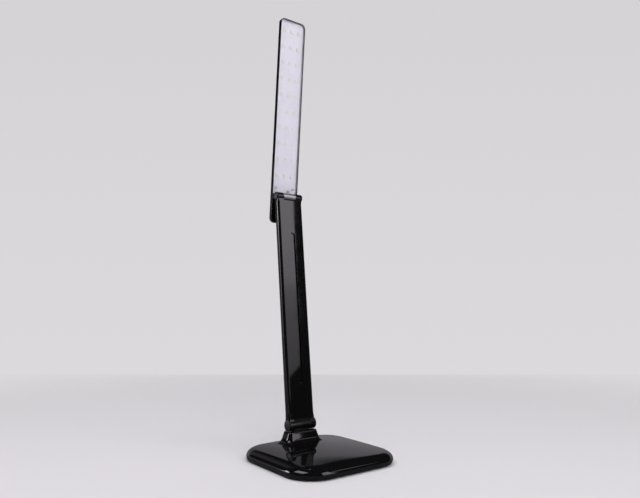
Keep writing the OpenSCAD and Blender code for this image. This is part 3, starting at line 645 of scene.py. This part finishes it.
# %% Sizes of the arm
arm_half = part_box("arm_front")[1].x / MM
arm_depth = 9.6
arm_corner, front_corner = 2.0, 3.3
arm_wall = 2.2
parting = 1.2
lid_end = 20.0
hollow_end = 18.0
lower_r, upper_r = 7.0, 5.3
lower_knuckle = arm_half - 7.4
upper_knuckle = arm_half - 9.9
foot_fillet, head_dip = 8.0, (3.3, 4.4)
room_slope, flat_end = (math.tan(math.radians(30.0)), math.tan(math.radians(20.0))), 12.0
rim_round, tip_half = 0.6, 0.8
foot_blend, head_blend = (4.0, 10.0), (3.0, 6.0)
shell_round, lid_round, lid_gap = 0.35, 0.25, 0.1
turn_gap = 0.4
draft = math.tan(math.radians(4.0))
web_gap = 6.2
groove_half, groove_depth, groove_end, groove_round = 4.5, 1.75, 51.5, 0.12
print(f"arm {2 * arm_half:.1f} mm wide")


# %% Front shell of the arm
def stadium(half_w, low, high, steps=24):
    """Outline with two round ends along the second axis."""
    ends = []
    for centre, start in ((high - half_w, 0.0), (low + half_w, math.pi)):
        ends += [(half_w * math.cos(start + math.pi * i / steps),
                  centre + half_w * math.sin(start + math.pi * i / steps)) for i in range(steps + 1)]
    return ends


def facing(piece, front):
    """Turn a prism drawn in X and Y so that it is drawn in X and Z, with its low end at front."""
    piece.data.transform(Matrix(((1, 0, 0, 0), (0, 0, 1, front), (0, 1, 0, 0), (0, 0, 0, 1))))
    piece.data.flip_normals()
    return piece


def knuckle_fillet(radius, fillet, steps):
    """Half depth and height, from the knuckle along a fillet to the arm's face."""
    centre_y = arm_depth / 2 + fillet
    centre_z = math.sqrt((radius + fillet) ** 2 - centre_y ** 2)
    first = math.atan2(centre_z, centre_y)
    return [(centre_y - fillet * math.cos(first * (1 - step / steps)),
             centre_z - fillet * math.sin(first * (1 - step / steps))) for step in range(steps + 1)]


def knuckle_round(radius, last_z, steps):
    """Half depth and height round a knuckle, from a narrow flat at its far end to last_z."""
    first, last = math.asin(tip_half / radius) - math.pi / 2, math.asin(last_z / radius)
    angles = [first + (last - first) * step / steps for step in range(steps)]
    return [(radius * math.cos(angle), radius * math.sin(angle)) for angle in angles]


def drafted(outline):
    """Sides that lean in by the mould's draft, away from the parting on both shells."""
    return [(x - math.copysign(abs(y - parting) * draft, x), y) for x, y in outline]


def arm_rings(steps=40):
    """Rings up the arm; the corners grow from the knuckles' rim to the long edges."""
    low_side = knuckle_fillet(lower_r, foot_fillet, 14)
    high_side = [(math.sqrt(upper_r ** 2 - head_dip[0] ** 2), head_dip[0]), (arm_depth / 2, head_dip[1])]
    low, high = [knuckle_round(radius, side[0][1], steps) + side
                 + [(arm_depth / 2, side[-1][1] + step) for step in range(1, 9)]
                 for radius, side in ((lower_r, low_side), (upper_r, high_side))]
    profile = low + [(depth, arm_len - z) for depth, z in reversed(high)]
    rings = []
    for depth, z in profile:
        share = min((z - foot_blend[0]) / foot_blend[1], (arm_len - head_blend[0] - z) / head_blend[1])
        grown = min(1.0, max(0.0, share))
        back_r, front_r = [min(rim_round + (full - rim_round) * grown, depth * 0.7)
                           for full in (arm_corner, front_corner)]
        below_rim = max(0.0, rim_round - min(z + lower_r, arm_len + upper_r - z))
        half_w = arm_half - rim_round + math.sqrt(rim_round ** 2 - below_rim ** 2)
        rings.append(level(drafted(rounded_outline(half_w, depth, back_r, 8, front_r)), z))
    return rings


front = skin("arm_front_shell", arm_rings())
top_centre = (0.0, 0.0, arm_len)
groove_outline = stadium(groove_half, groove_end, arm_len - groove_end)
groove = facing(prism("groove", groove_outline, 0.0, groove_depth + 1.0), -arm_depth / 2 - 1.0)
room_side = [(-arm_depth, arm_depth * room_slope[0]), (-arm_depth, -2 * lower_r), (arm_depth, -2 * lower_r),
             (arm_depth, arm_depth * room_slope[1]), (0.0, 0.0)]
combine(front, [
    side_prism("room", room_side, lower_knuckle),
    rod("room", barrel_r + turn_gap, -lower_knuckle, lower_knuckle),
    block("flat", lower_knuckle, (-2 * lower_r, -2 * lower_r), (-arm_depth / 2, flat_end)),
    rod("room", upper_r + turn_gap, -upper_knuckle, upper_knuckle, top_centre),
    block("room", upper_knuckle, (-arm_depth, arm_len - web_gap), (arm_depth, arm_len + 20)),
    block("lid", 2 * arm_half, (parting, lid_end), (arm_depth, arm_len - lid_end)),
    block("hollow", arm_half - arm_wall, (-arm_depth / 2 + arm_wall, hollow_end),
          (arm_depth, arm_len - lid_end - 2)),
])
soften(front, shell_round)
combine(front, [groove])
soften(front, groove_round, 2)
settle(front, IN_ARM, "arm", "gloss_black", ["arm_front"])

# %% Back shell of the arm
back = prism("arm_back_shell", drafted(rounded_outline(arm_half, arm_depth / 2, arm_corner, 10)),
             lid_end + lid_gap, arm_len - lid_end - lid_gap)
combine(back, [
    block("front", 2 * arm_half, (-arm_depth, 0), (parting + lid_gap / 2, arm_len)),
    block("hollow", arm_half - arm_wall, (-arm_depth, 0), (arm_depth / 2 - arm_wall, arm_len)),
])
screw_x, screw_in, plug_r, plug_t = 10.5, 32.0, 2.1, 0.8
hole_floor = arm_depth / 2 - plug_t - 0.4
combine(back, [rod("hole", plug_r + 0.1, hole_floor, arm_depth, (x, 0.0, arm_len / 2 + z), "Y", 48)
               for x, z in four_corners(screw_x, arm_len / 2 - screw_in)])
soften(back, lid_round)
settle(back, IN_ARM, "arm", "gloss_black", ["arm_back"])


# %% [markdown]
# ## Hinge caps
#
# A domed satin button closes each end of both hinges and hides the bolt. A cap is a lathe form: a
# half profile, spun round the hinge axis.

# %% Hinge caps
def lathe(name, profile, steps=96, upright=False):
    """Spin a profile of (radius, place) round X, or round Z, and close its two ends."""
    turns = [2 * math.pi * i / steps for i in range(steps)]
    piece = skin(name, [[(place, radius * math.cos(turn), radius * math.sin(turn)) for turn in turns]
                        for radius, place in profile])
    if upright:
        piece.data.transform(Matrix.Rotation(-math.pi / 2, 4, "Y"))
    return piece


cap_seat = 0.15


def cap_profile(outer_r, thickness, face, dome):
    """Seat, round shoulder and a domed middle, from the knuckle's end outwards."""
    rim = thickness - dome
    round_r = rim * 0.8
    profile = [(outer_r * 0.4, face), (outer_r - cap_seat, face), (outer_r, face + cap_seat)]
    profile += [(outer_r - round_r * inwards, face + rim - round_r * short)
                for inwards, short in quarter(6)]
    edge = outer_r - round_r
    return profile + [(edge * share, face + rim + dome * (1 - share ** 2))
                      for share in (0.95, 0.85, 0.7, 0.5, 0.3, 0.12)]


def cap_pair(name, outer_r, thickness, centre, replaced):
    sides = []
    for sign in (1, -1):
        piece = lathe(name, cap_profile(outer_r, thickness, arm_half, thickness * 0.55))
        piece.data.transform(Matrix.Translation(centre) @ Matrix.Diagonal((sign, 1, 1, 1)))
        if sign < 0:
            piece.data.flip_normals()
        sides.append(piece)
    settle(join(name, sides), IN_ARM, "arm", "black_plastic", [replaced], smooth=35.0)


def join(name, parts):
    """One mesh out of several, with their points and faces kept."""
    points, faces = [], []
    for part in parts:
        start = len(points)
        points += [v.co.copy() for v in part.data.vertices]
        faces += [tuple(start + i for i in p.vertices) for p in part.data.polygons]
        bpy.data.objects.remove(part)
    return new_piece(name, points, faces)


cap_pair("lower_hinge_caps", lower_r, 1.4, (0, 0, 0), "lower_caps")
cap_pair("upper_hinge_caps", upper_r, 1.5, top_centre, "upper_caps")

# %% [markdown]
# ## The silver barrel
#
# The barrel is the part of the upper hinge that turns with the light bar. It is a zinc casting:
# a turned barrel, a web behind it and a foot that is screwed inside the tail of the bar.

# %% The silver barrel
barrel_half = upper_knuckle - 0.5
barrel_bore_r, barrel_screw_r, screw_out, screw_down = 2.05, 1.0, 6.0, 12.0
web_half = 3.0
bar_face = 8.0
tail_cover_t, foot_t, foot_down = 1.5, 1.4, 17.0
foot_y = bar_face + tail_cover_t
barrel = rod("silver_barrel", upper_r - 0.1, -barrel_half, barrel_half, steps=128)
combine(barrel, [
    block("web", barrel_half, (0, -web_half), (foot_y + foot_t, web_half)),
    block("foot", barrel_half, (foot_y, -foot_down), (foot_y + foot_t, web_half - 0.01)),
], "UNION")
holes = [rod("hole", barrel_screw_r, bar_face, bar_face + 8, (x, 0, -screw_down), "Y", 32)
         for x in (-screw_out, screw_out)]
combine(barrel, [rod("bore", barrel_bore_r, -arm_half, arm_half, steps=48)] + holes)
soften(barrel, 0.4, 4)
settle(barrel, IN_BAR, "light_bar", "silver", ["hinge_barrel"])

# %% [markdown]
# ## The light bar
#
# The shell is a shallow tray with a soft back edge. Its outline only changes in its inset, so it
# is a skin over round rectangles, round the back edge, over the rim and down into the tray.

# %% Sizes of the light bar
bar_half, bar_up, bar_down, bar_depth = 20.7, 252.0, 36.5, 6.0
bar_corner, bar_back_edge = 7.0, 1.4
rim_w, back_wall = 1.2, 1.6
tray_floor = bar_face + bar_depth - back_wall
bar_mid, bar_reach = (bar_up - bar_down) / 2, (bar_up + bar_down) / 2
tail_top = 4.0
edge_round, plate_gap = 0.35, 0.1
window_low, window_t = 0.3, 1.0
board_t = 1.2
board_face = tray_floor - board_t


# %% Shell of the light bar
def bar_ring(inset, y):
    """Outline of the bar at an inset, counter-clockwise seen from the front."""
    outline = rounded_outline(bar_half - inset, bar_reach - inset, max(bar_corner - inset, 0.5), 20)
    return [(x, y, z + bar_mid) for x, z in outline]


rings = [bar_ring(bar_back_edge * inwards, bar_face + bar_depth - bar_back_edge * short)
         for inwards, short in reversed(quarter(8))]
rings += [bar_ring(edge_round * inwards, bar_face + edge_round * short) for inwards, short in quarter(4)]
rings += [bar_ring(rim_w - edge_round * inwards, bar_face + edge_round * short)
          for inwards, short in reversed(quarter(4))]
shell = skin("light_bar_shell", rings + [bar_ring(rim_w, tray_floor)])
settle(shell, IN_BAR, "light_bar", "gloss_black", ["bar_shell"])


# %% Cover over the tail of the bar
def bar_plate(name, low, high):
    """Plate that fills the mouth of the tray, between two depths."""
    inset = rim_w + plate_gap
    outline = rounded_outline(bar_half - inset, bar_reach - inset, bar_corner - inset, 16)
    piece = facing(prism(name, outline, 0.0, high - low), low)
    piece.data.transform(Matrix.Translation((0, 0, bar_mid)))
    return piece


tail = bar_plate("tail_cover", bar_face, bar_face + tail_cover_t)
slot_up = web_half + plate_gap
combine(tail, [
    block("upper", bar_half, (0, tail_top), (2 * bar_face, bar_up + 10)),
    block("web room", barrel_half + plate_gap, (0, -slot_up), (2 * bar_face, slot_up)),
])
soften(tail, 0.2, 2)
settle(tail, IN_BAR, "light_bar", "gloss_black", ["bar_tail_cover"])

# %% Clear window
pane = bar_plate("window_pane", bar_face + window_low, bar_face + window_low + window_t)
below = block("below", bar_half, (0, -bar_down - 5), (2 * bar_face, tail_top + plate_gap))
combine(pane, [below])
soften(pane, 0.12, 2)
settle(pane, IN_BAR, "light_bar", "clear", ["clear_window"])

# %% [markdown]
# ## Thirty lights
#
# A light is a white body, a resin window and tinned feet. Each could be copied in a loop; here a
# Geometry Nodes tree sets it out on a grid, so that rows, columns and pitches are plain inputs.

# %% Geometry Nodes tree that sets a piece out on a grid
def grid_tree():
    tree = bpy.data.node_groups.new("set out on a grid", "GeometryNodeTree")
    sockets = (("Piece", "NodeSocketObject"), ("Columns", "NodeSocketInt"), ("Rows", "NodeSocketInt"),
               ("Column pitch", "NodeSocketFloat"), ("Row pitch", "NodeSocketFloat"),
               ("Material", "NodeSocketMaterial"))
    for name, kind in sockets:
        tree.interface.new_socket(name, in_out="INPUT", socket_type=kind)
    tree.interface.new_socket("Geometry", in_out="OUTPUT", socket_type="NodeSocketGeometry")
    given = add_node(tree, "NodeGroupInput").outputs

    def width(count, pitch):
        """One less than the count, times the pitch."""
        less = output(tree, "ShaderNodeMath", "Value", {0: given[count], 1: 1.0}, operation="SUBTRACT")
        return product(tree, less, given[pitch])

    points = output(tree, "GeometryNodeMeshGrid", "Mesh", {
        "Size X": width("Columns", "Column pitch"), "Size Y": width("Rows", "Row pitch"),
        "Vertices X": given["Columns"], "Vertices Y": given["Rows"]})
    piece = output(tree, "GeometryNodeObjectInfo", "Geometry", {"Object": given["Piece"]})
    placed = output(tree, "GeometryNodeInstanceOnPoints", "Instances",
                    {"Points": points, "Instance": piece})
    real = output(tree, "GeometryNodeRealizeInstances", "Geometry", {"Geometry": placed})
    painted = output(tree, "GeometryNodeSetMaterial", "Geometry",
                     {"Geometry": real, "Material": given["Material"]})
    add_node(tree, "NodeGroupOutput", {"Geometry": painted})
    return tree


set_out = grid_tree()
input_id = {item.name: item.identifier for item in set_out.interface.items_tree if item.in_out == "INPUT"}
print("inputs:", ", ".join(input_id))


# %% Set a piece out, and make the result a plain mesh
def on_grid(name, piece, columns, rows, column_pitch, row_pitch, material):
    """The piece, drawn facing +Z, at each point of a grid in X and Y."""
    holder = new_piece(name, [], [])
    modifier = holder.modifiers.new("grid", "NODES")
    modifier.node_group = set_out
    given = (piece, columns, rows, column_pitch, row_pitch, material)
    for identifier, value in zip(input_id.values(), given):
        modifier[identifier] = value
    bake_modifiers(holder)
    bpy.data.objects.remove(piece)
    return holder


# %% The lights
TO_FRONT = Matrix.Rotation(math.pi / 2, 4, "X")
led_rows, led_columns = 10, 3
led_row_pitch, led_column_pitch = 22.9, 11.4
led_first, led_side, led_h = 30.5, 5.0, 0.8
led_shoulder, bowl_floor, bowl_low_r, bowl_high_r = 0.3, 0.3, 1.45, 1.8
lead_y, lead_half, lead_h, lead_in = 1.55, 0.45, 0.42, 0.35
led_middle = led_first + led_row_pitch * (led_rows - 1) / 2
led_place = IN_BAR @ Matrix.Translation((0, board_face, led_middle)) @ TO_FRONT


def led_body():
    body = prism("body", rounded_outline(led_side / 2 - led_shoulder, led_side / 2, 0.15, 3), 0.0, led_h)
    bowl = [(bowl_low_r, bowl_floor), (bowl_high_r, led_h + 0.1)]
    combine(body, [lathe("bowl", bowl, 40, upright=True)])
    soften(body, 0.07, 2)
    return body


def led_resin():
    profile = [(1.44, 0.31), (1.66, 0.62), (1.2, 0.68), (0.6, 0.71)]
    return lathe("resin", profile, 32, upright=True)


def led_feet():
    feet = []
    for x in (-led_side / 2 + lead_in / 2, led_side / 2 - lead_in / 2):
        for y in (-lead_y, 0.0, lead_y):
            lead = block("foot", lead_in / 2, (y - lead_half, 0.0), (y + lead_half, lead_h))
            lead.data.transform(Matrix.Translation((x, 0.0, 0.0)))
            feet.append(lead)
    return join("feet", feet)


led_parts = (("led_bodies", led_body(), "led_cream", "led_cream", ["leds"]),
             ("led_resin", led_resin(), "led_resin", "led_cream", []),
             ("led_feet", led_feet(), "silver", "silver", []))
for name, piece, finish_name, slot_name, replaced in led_parts:
    grid = on_grid(name, piece, led_columns, led_rows, led_column_pitch, led_row_pitch, finish[finish_name])
    settle(grid, led_place, "light_bar", slot_name, replaced, finish[finish_name])

# %% Plugs over the arm's screws
plug_top = [(plug_r - 0.08, 0.1), (plug_r - 0.25, 0.03), (plug_r * 0.5, 0.0), (plug_r * 0.45, 0.12),
            (plug_r * 0.2, 0.15)]
plug_profile = [(plug_r - 0.1, 0.0), (plug_r, 0.1), (plug_r, plug_t - 0.25)]
plug_profile += [(radius, plug_t - down) for radius, down in plug_top]
plug = lathe("plug", plug_profile, 48, upright=True)
plugs = on_grid("arm_screw_plugs", plug, 2, 2, 2 * screw_x, arm_len - 2 * screw_in, finish["black_plastic"])
plug_place = IN_ARM @ Matrix.Translation((0.0, arm_depth / 2 - plug_t, arm_len / 2)) @ TO_FRONT.inverted()
settle(plugs, plug_place, "arm", "black_plastic", ["arm_plugs"], smooth=35.0)

# %% [markdown]
# ## The stage
#
# The floor is a pale card, and a low wall closes it off behind the lamp. The base mirrors the lit
# foot of that wall, which gives its top a soft grey sheen. Higher up the wall is dark, so the
# front of the dome stays black. The camera, and a ray through glass, sees a backdrop instead,
# painted a little darker higher up: Light Path tells which kind of ray it is. Far off the floor
# fades into that backdrop, and close to the lamp gloss sees painted shade on the floor.

# %% Floor and wall
wall_away = 1.6575
wall_half, wall_high, floor_half = 1.25, 1.45, 4.0
BACKDROP, backdrop_glow = (1.0, 0.98, 1.01, 1.0), 0.695
GLOW = (1.0, 0.945, 1.03, 1.0)
sideways = Vector((heading.y, -heading.x, 0.0))
foot = camera_place - UP * camera_place.z + heading * wall_away


def sheet_of(name, corner, across, up):
    piece = new_piece(name, [corner, corner + across, corner + across + up, corner + up], [(0, 1, 2, 3)])
    return piece


floor = sheet_of("floor", foot - heading * 2 * floor_half - sideways * floor_half,
                 sideways * 2 * floor_half, heading * 2 * floor_half)
wall = sheet_of("wall", foot - sideways * wall_half, sideways * 2 * wall_half, UP * wall_high)


def by_height(tree, low, high, at_low, at_high, smooth=False):
    """A value that runs from at_low to at_high between two heights."""
    return spread(tree, part_of(tree, object_place(tree), "Z"), at_low, at_high, low, high, smooth)


def seen_directly(tree):
    """1 for rays from the camera or through glass, else 0."""
    path = add_node(tree, "ShaderNodeLightPath").outputs
    rays = {0: path["Is Camera Ray"], 1: path["Is Transmission Ray"]}
    return output(tree, "ShaderNodeMath", "Value", rays, use_clamp=True)


def glossy_rays(tree):
    """1 for rays that gloss mirrors, else 0."""
    return output(tree, "ShaderNodeLightPath", "Is Glossy Ray")


def show_card(tree, surface, rays, color, strength=1.0):
    """A glowing card for those rays, and the surface for all others."""
    card = output(tree, "ShaderNodeEmission", "Emission", {"Color": color, "Strength": strength})
    mixed = output(tree, "ShaderNodeMixShader", "Shader", {"Fac": rays, 1: surface, 2: card})
    feed(tree, tree.nodes["Material Output"], {"Surface": mixed})
    return mixed


def floor_card():
    """A pale card, with painted shade close to the lamp for gloss; far off it fades into the backdrop."""
    pale = (0.76, 0.75, 0.765)
    material, tree, shader = new_material("floor_card", pale, 0.9)
    away = output(tree, "ShaderNodeVectorMath", "Value", {0: object_place(tree)}, operation="LENGTH")
    # Painted shade: gloss sees the floor darker close to the lamp, where shadows would fall
    painted_shade = product(tree, spread(tree, away, 1.0, 0.0, 0.5, 2.2), glossy_rays(tree))
    tone = two_tone(tree, painted_shade, pale, (0.15, 0.15, 0.155))
    feed(tree, shader, {"Base Color": tone, "Specular IOR Level": 0.1})
    far = product(tree, spread(tree, away, 0.0, 1.0, 0.3, 1.3, smooth=True), seen_directly(tree))
    show_card(tree, shader.outputs["BSDF"], far, BACKDROP, backdrop_glow)
    return material


def wall_card(glow=0.345):
    """A backdrop for the camera, painted darker higher up; gloss sees the glow at the foot of the wall."""
    material, tree, shader = new_material("wall_card", (0.5, 0.5, 0.5), 0.9)
    feed(tree, shader, {"Specular IOR Level": 0.0})
    middle, across = foot.dot(sideways), reach(tree, object_place(tree), sideways)
    lit_side = spread(tree, across, 0.6, 1.0, middle - 0.25, middle + 0.05)
    foot_glow = product(tree, by_height(tree, 0.365, 0.455, glow, 0.012, smooth=True), lit_side)
    # A weak glow at the far left, for views from behind
    far_left = spread(tree, across, 0.3, 0.0, middle - 0.85, middle - 0.4)
    far_glow = product(tree, by_height(tree, 0.1, 1.3, 1.0, 0.3), far_left)
    both = output(tree, "ShaderNodeMath", "Value", {0: foot_glow, 1: far_glow})
    # Painted shade: the backdrop is a little darker higher up, as the light falls off
    rise = by_height(tree, 0.0, 1.1, 0.0, 1.0)
    backdrop = two_tone(tree, rise, (0.715, 0.696, 0.725), (0.66, 0.648, 0.668))
    glowing = show_card(tree, shader.outputs["BSDF"], glossy_rays(tree), GLOW, both)
    show_card(tree, glowing, seen_directly(tree), backdrop)
    return material


floor.data.materials.append(floor_card())
wall.data.materials.append(wall_card())
print("stage: floor and wall")

# %% [markdown]
# ## The room
#
# Round the stage the room is dark, apart from a low band of light behind and beside the lamp,
# which the sides of the arm and of the light bar mirror. The height of a ray gives the band, and
# how far it points to the back gives the side. The camera sees the pale backdrop all round.

# %% World
def room(dim=0.02, band=0.40):
    world = bpy.data.worlds.new("room")
    world.use_nodes = True
    tree = world.node_tree
    ray = output(tree, "ShaderNodeTexCoord", "Generated")
    low = spread(tree, part_of(tree, ray, "Z"), 1.0, 0.0, 0.12, 0.24)
    to_back = Matrix.Rotation(math.radians(15.0), 3, "Z") @ heading
    behind = spread(tree, reach(tree, ray, to_back), 0.0, 1.0, 0.1, 0.5)
    lit = spread(tree, product(tree, low, behind), dim, band, 0.0, 1.0)
    shares = {"Factor": seen_directly(tree), "A": lit, "B": backdrop_glow}
    chosen = output(tree, "ShaderNodeMix", "Result", shares)
    feed(tree, tree.nodes["Background"], {"Color": BACKDROP, "Strength": chosen})
    return world


bpy.context.scene.world = room()

# %% [markdown]
# ## Soft boxes
#
# Four soft boxes are seen in the gloss. The upright edge of the tall one, in front to the right,
# draws the line down the arm where grey turns to black. Its cloth is dimmer towards the foot, and
# a lower corner is folded away, so the grey ends in a slant. One hangs high to the left, and a
# small one high to the right picks out the front edge of the base. The side strip, behind to the
# left, only draws the thin bright line on the round left edges. Two fills light the white board
# and the floor, but aren't seen in the gloss.

# %% Soft boxes
def soft_box(name, centre, right, up, size, radiance, in_gloss=True):
    """Area lamp of that radiance; right and up are the ways that its width and height run."""
    data = bpy.data.lights.new(name, "AREA")
    data.shape = "RECTANGLE"
    data.size, data.size_y = size
    data.energy = radiance * math.pi * size[0] * size[1]
    if in_gloss:
        data.color = GLOW[:3]
    lamp = add_object(name, data)
    up = (up - right * up.dot(right)).normalized()
    turn = Matrix((right, up, right.cross(up))).transposed().to_4x4()
    lamp.matrix_world = Matrix.Translation(centre) @ turn
    lamp.visible_glossy = in_gloss
    lamp.visible_camera = False
    return lamp


def aimed_box(name, place, at, size, radiance, in_gloss=True):
    """Soft box that looks from a place at a point."""
    back = (Vector(place) - Vector(at)).normalized()
    right = UP.cross(back).normalized()
    return soft_box(name, Vector(place), right, back.cross(right), size, radiance, in_gloss)


def cloth(lamp, stops, fold):
    """Cloth over a lamp: brightness by height, from a list of stops, and a folded lower corner."""
    lamp.data.use_nodes = True
    tree = lamp.data.node_tree
    width, height = lamp.data.size, lamp.data.size_y
    place = output(tree, "ShaderNodeNewGeometry", "Parametric")
    ramp = add_node(tree, "ShaderNodeValToRGB", {"Fac": part_of(tree, place, "Y")})
    ramp.color_ramp.interpolation = "EASE"
    while len(ramp.color_ramp.elements) < len(stops):
        ramp.color_ramp.elements.new(0.5)
    for element, (rise, share) in zip(ramp.color_ramp.elements, stops):
        element.position, element.color = rise / height, (share, share, share, 1.0)
    past_fold = reach(tree, place, (-width, height, 0.0))
    kept = spread(tree, past_fold, 0.0, 1.0, fold - width - 0.01, fold - width + 0.01)
    feed(tree, tree.nodes["Emission"], {"Strength": product(tree, ramp.outputs["Color"], kept)})


# %% The boxes
box_away, box_w, box_low, box_high = 2.2, 1.5, 0.1, 2.7
to_box = Vector((0.604, -0.797, 0.0)).normalized()
box_edge_side = Vector((-to_box.y, to_box.x, 0.0))
edge_low, edge_lean = 0.120, 0.0714
box_up = (UP + box_edge_side * edge_lean).normalized()
box_right = box_up.cross(to_box).normalized()
edge_foot = Vector((0.0068, 0.058, 0.0)) + to_box * box_away - box_edge_side * edge_low
box_centre = edge_foot + box_up * (box_low + box_high) / 2 - box_right * box_w / 2
right_box = soft_box("right box", box_centre, box_right, box_up, (box_w, box_high - box_low), 2.65)
right_stops = [(0.10, 0.28), (0.40, 0.40), (0.54, 0.52), (0.66, 0.82), (0.90, 0.95), (1.3, 1.0)]
cloth(right_box, right_stops, fold=0.183)
aimed_box("left box", (-1.3, 0.1, 1.9), (0, 0, 0), (1.4, 1.0), 3.4)
aimed_box("high right box", (1.385, -1.429, 1.36), (0, 0, 0), (0.36, 0.40), 0.9)
strip = aimed_box("side strip", (-1.463, 1.404, 0.43), (0, 0.04, 0.43), (0.62, 0.86), 13.0)
strip.visible_diffuse = False
cloth(strip, [(0.0, 0.03), (0.2, 0.05), (0.32, 0.2), (0.42, 0.22), (0.57, 0.5), (0.68, 1.0)], fold=0.0)
aimed_box("fill", (-0.6, -1.9, 1.6), (0, 0, 0.3), (1.2, 1.2), 4.1, in_gloss=False)
across, away = Vector((1, 0, 0)), Vector((0, 1, 0))
soft_box("overhead", Vector((0.2, 0.4, 2.7)), across, away, (3.0, 3.0), 1.35, in_gloss=False)
print("lamps:", len(bpy.data.lights))
bpy.context.scene.view_settings.view_transform = "Standard"
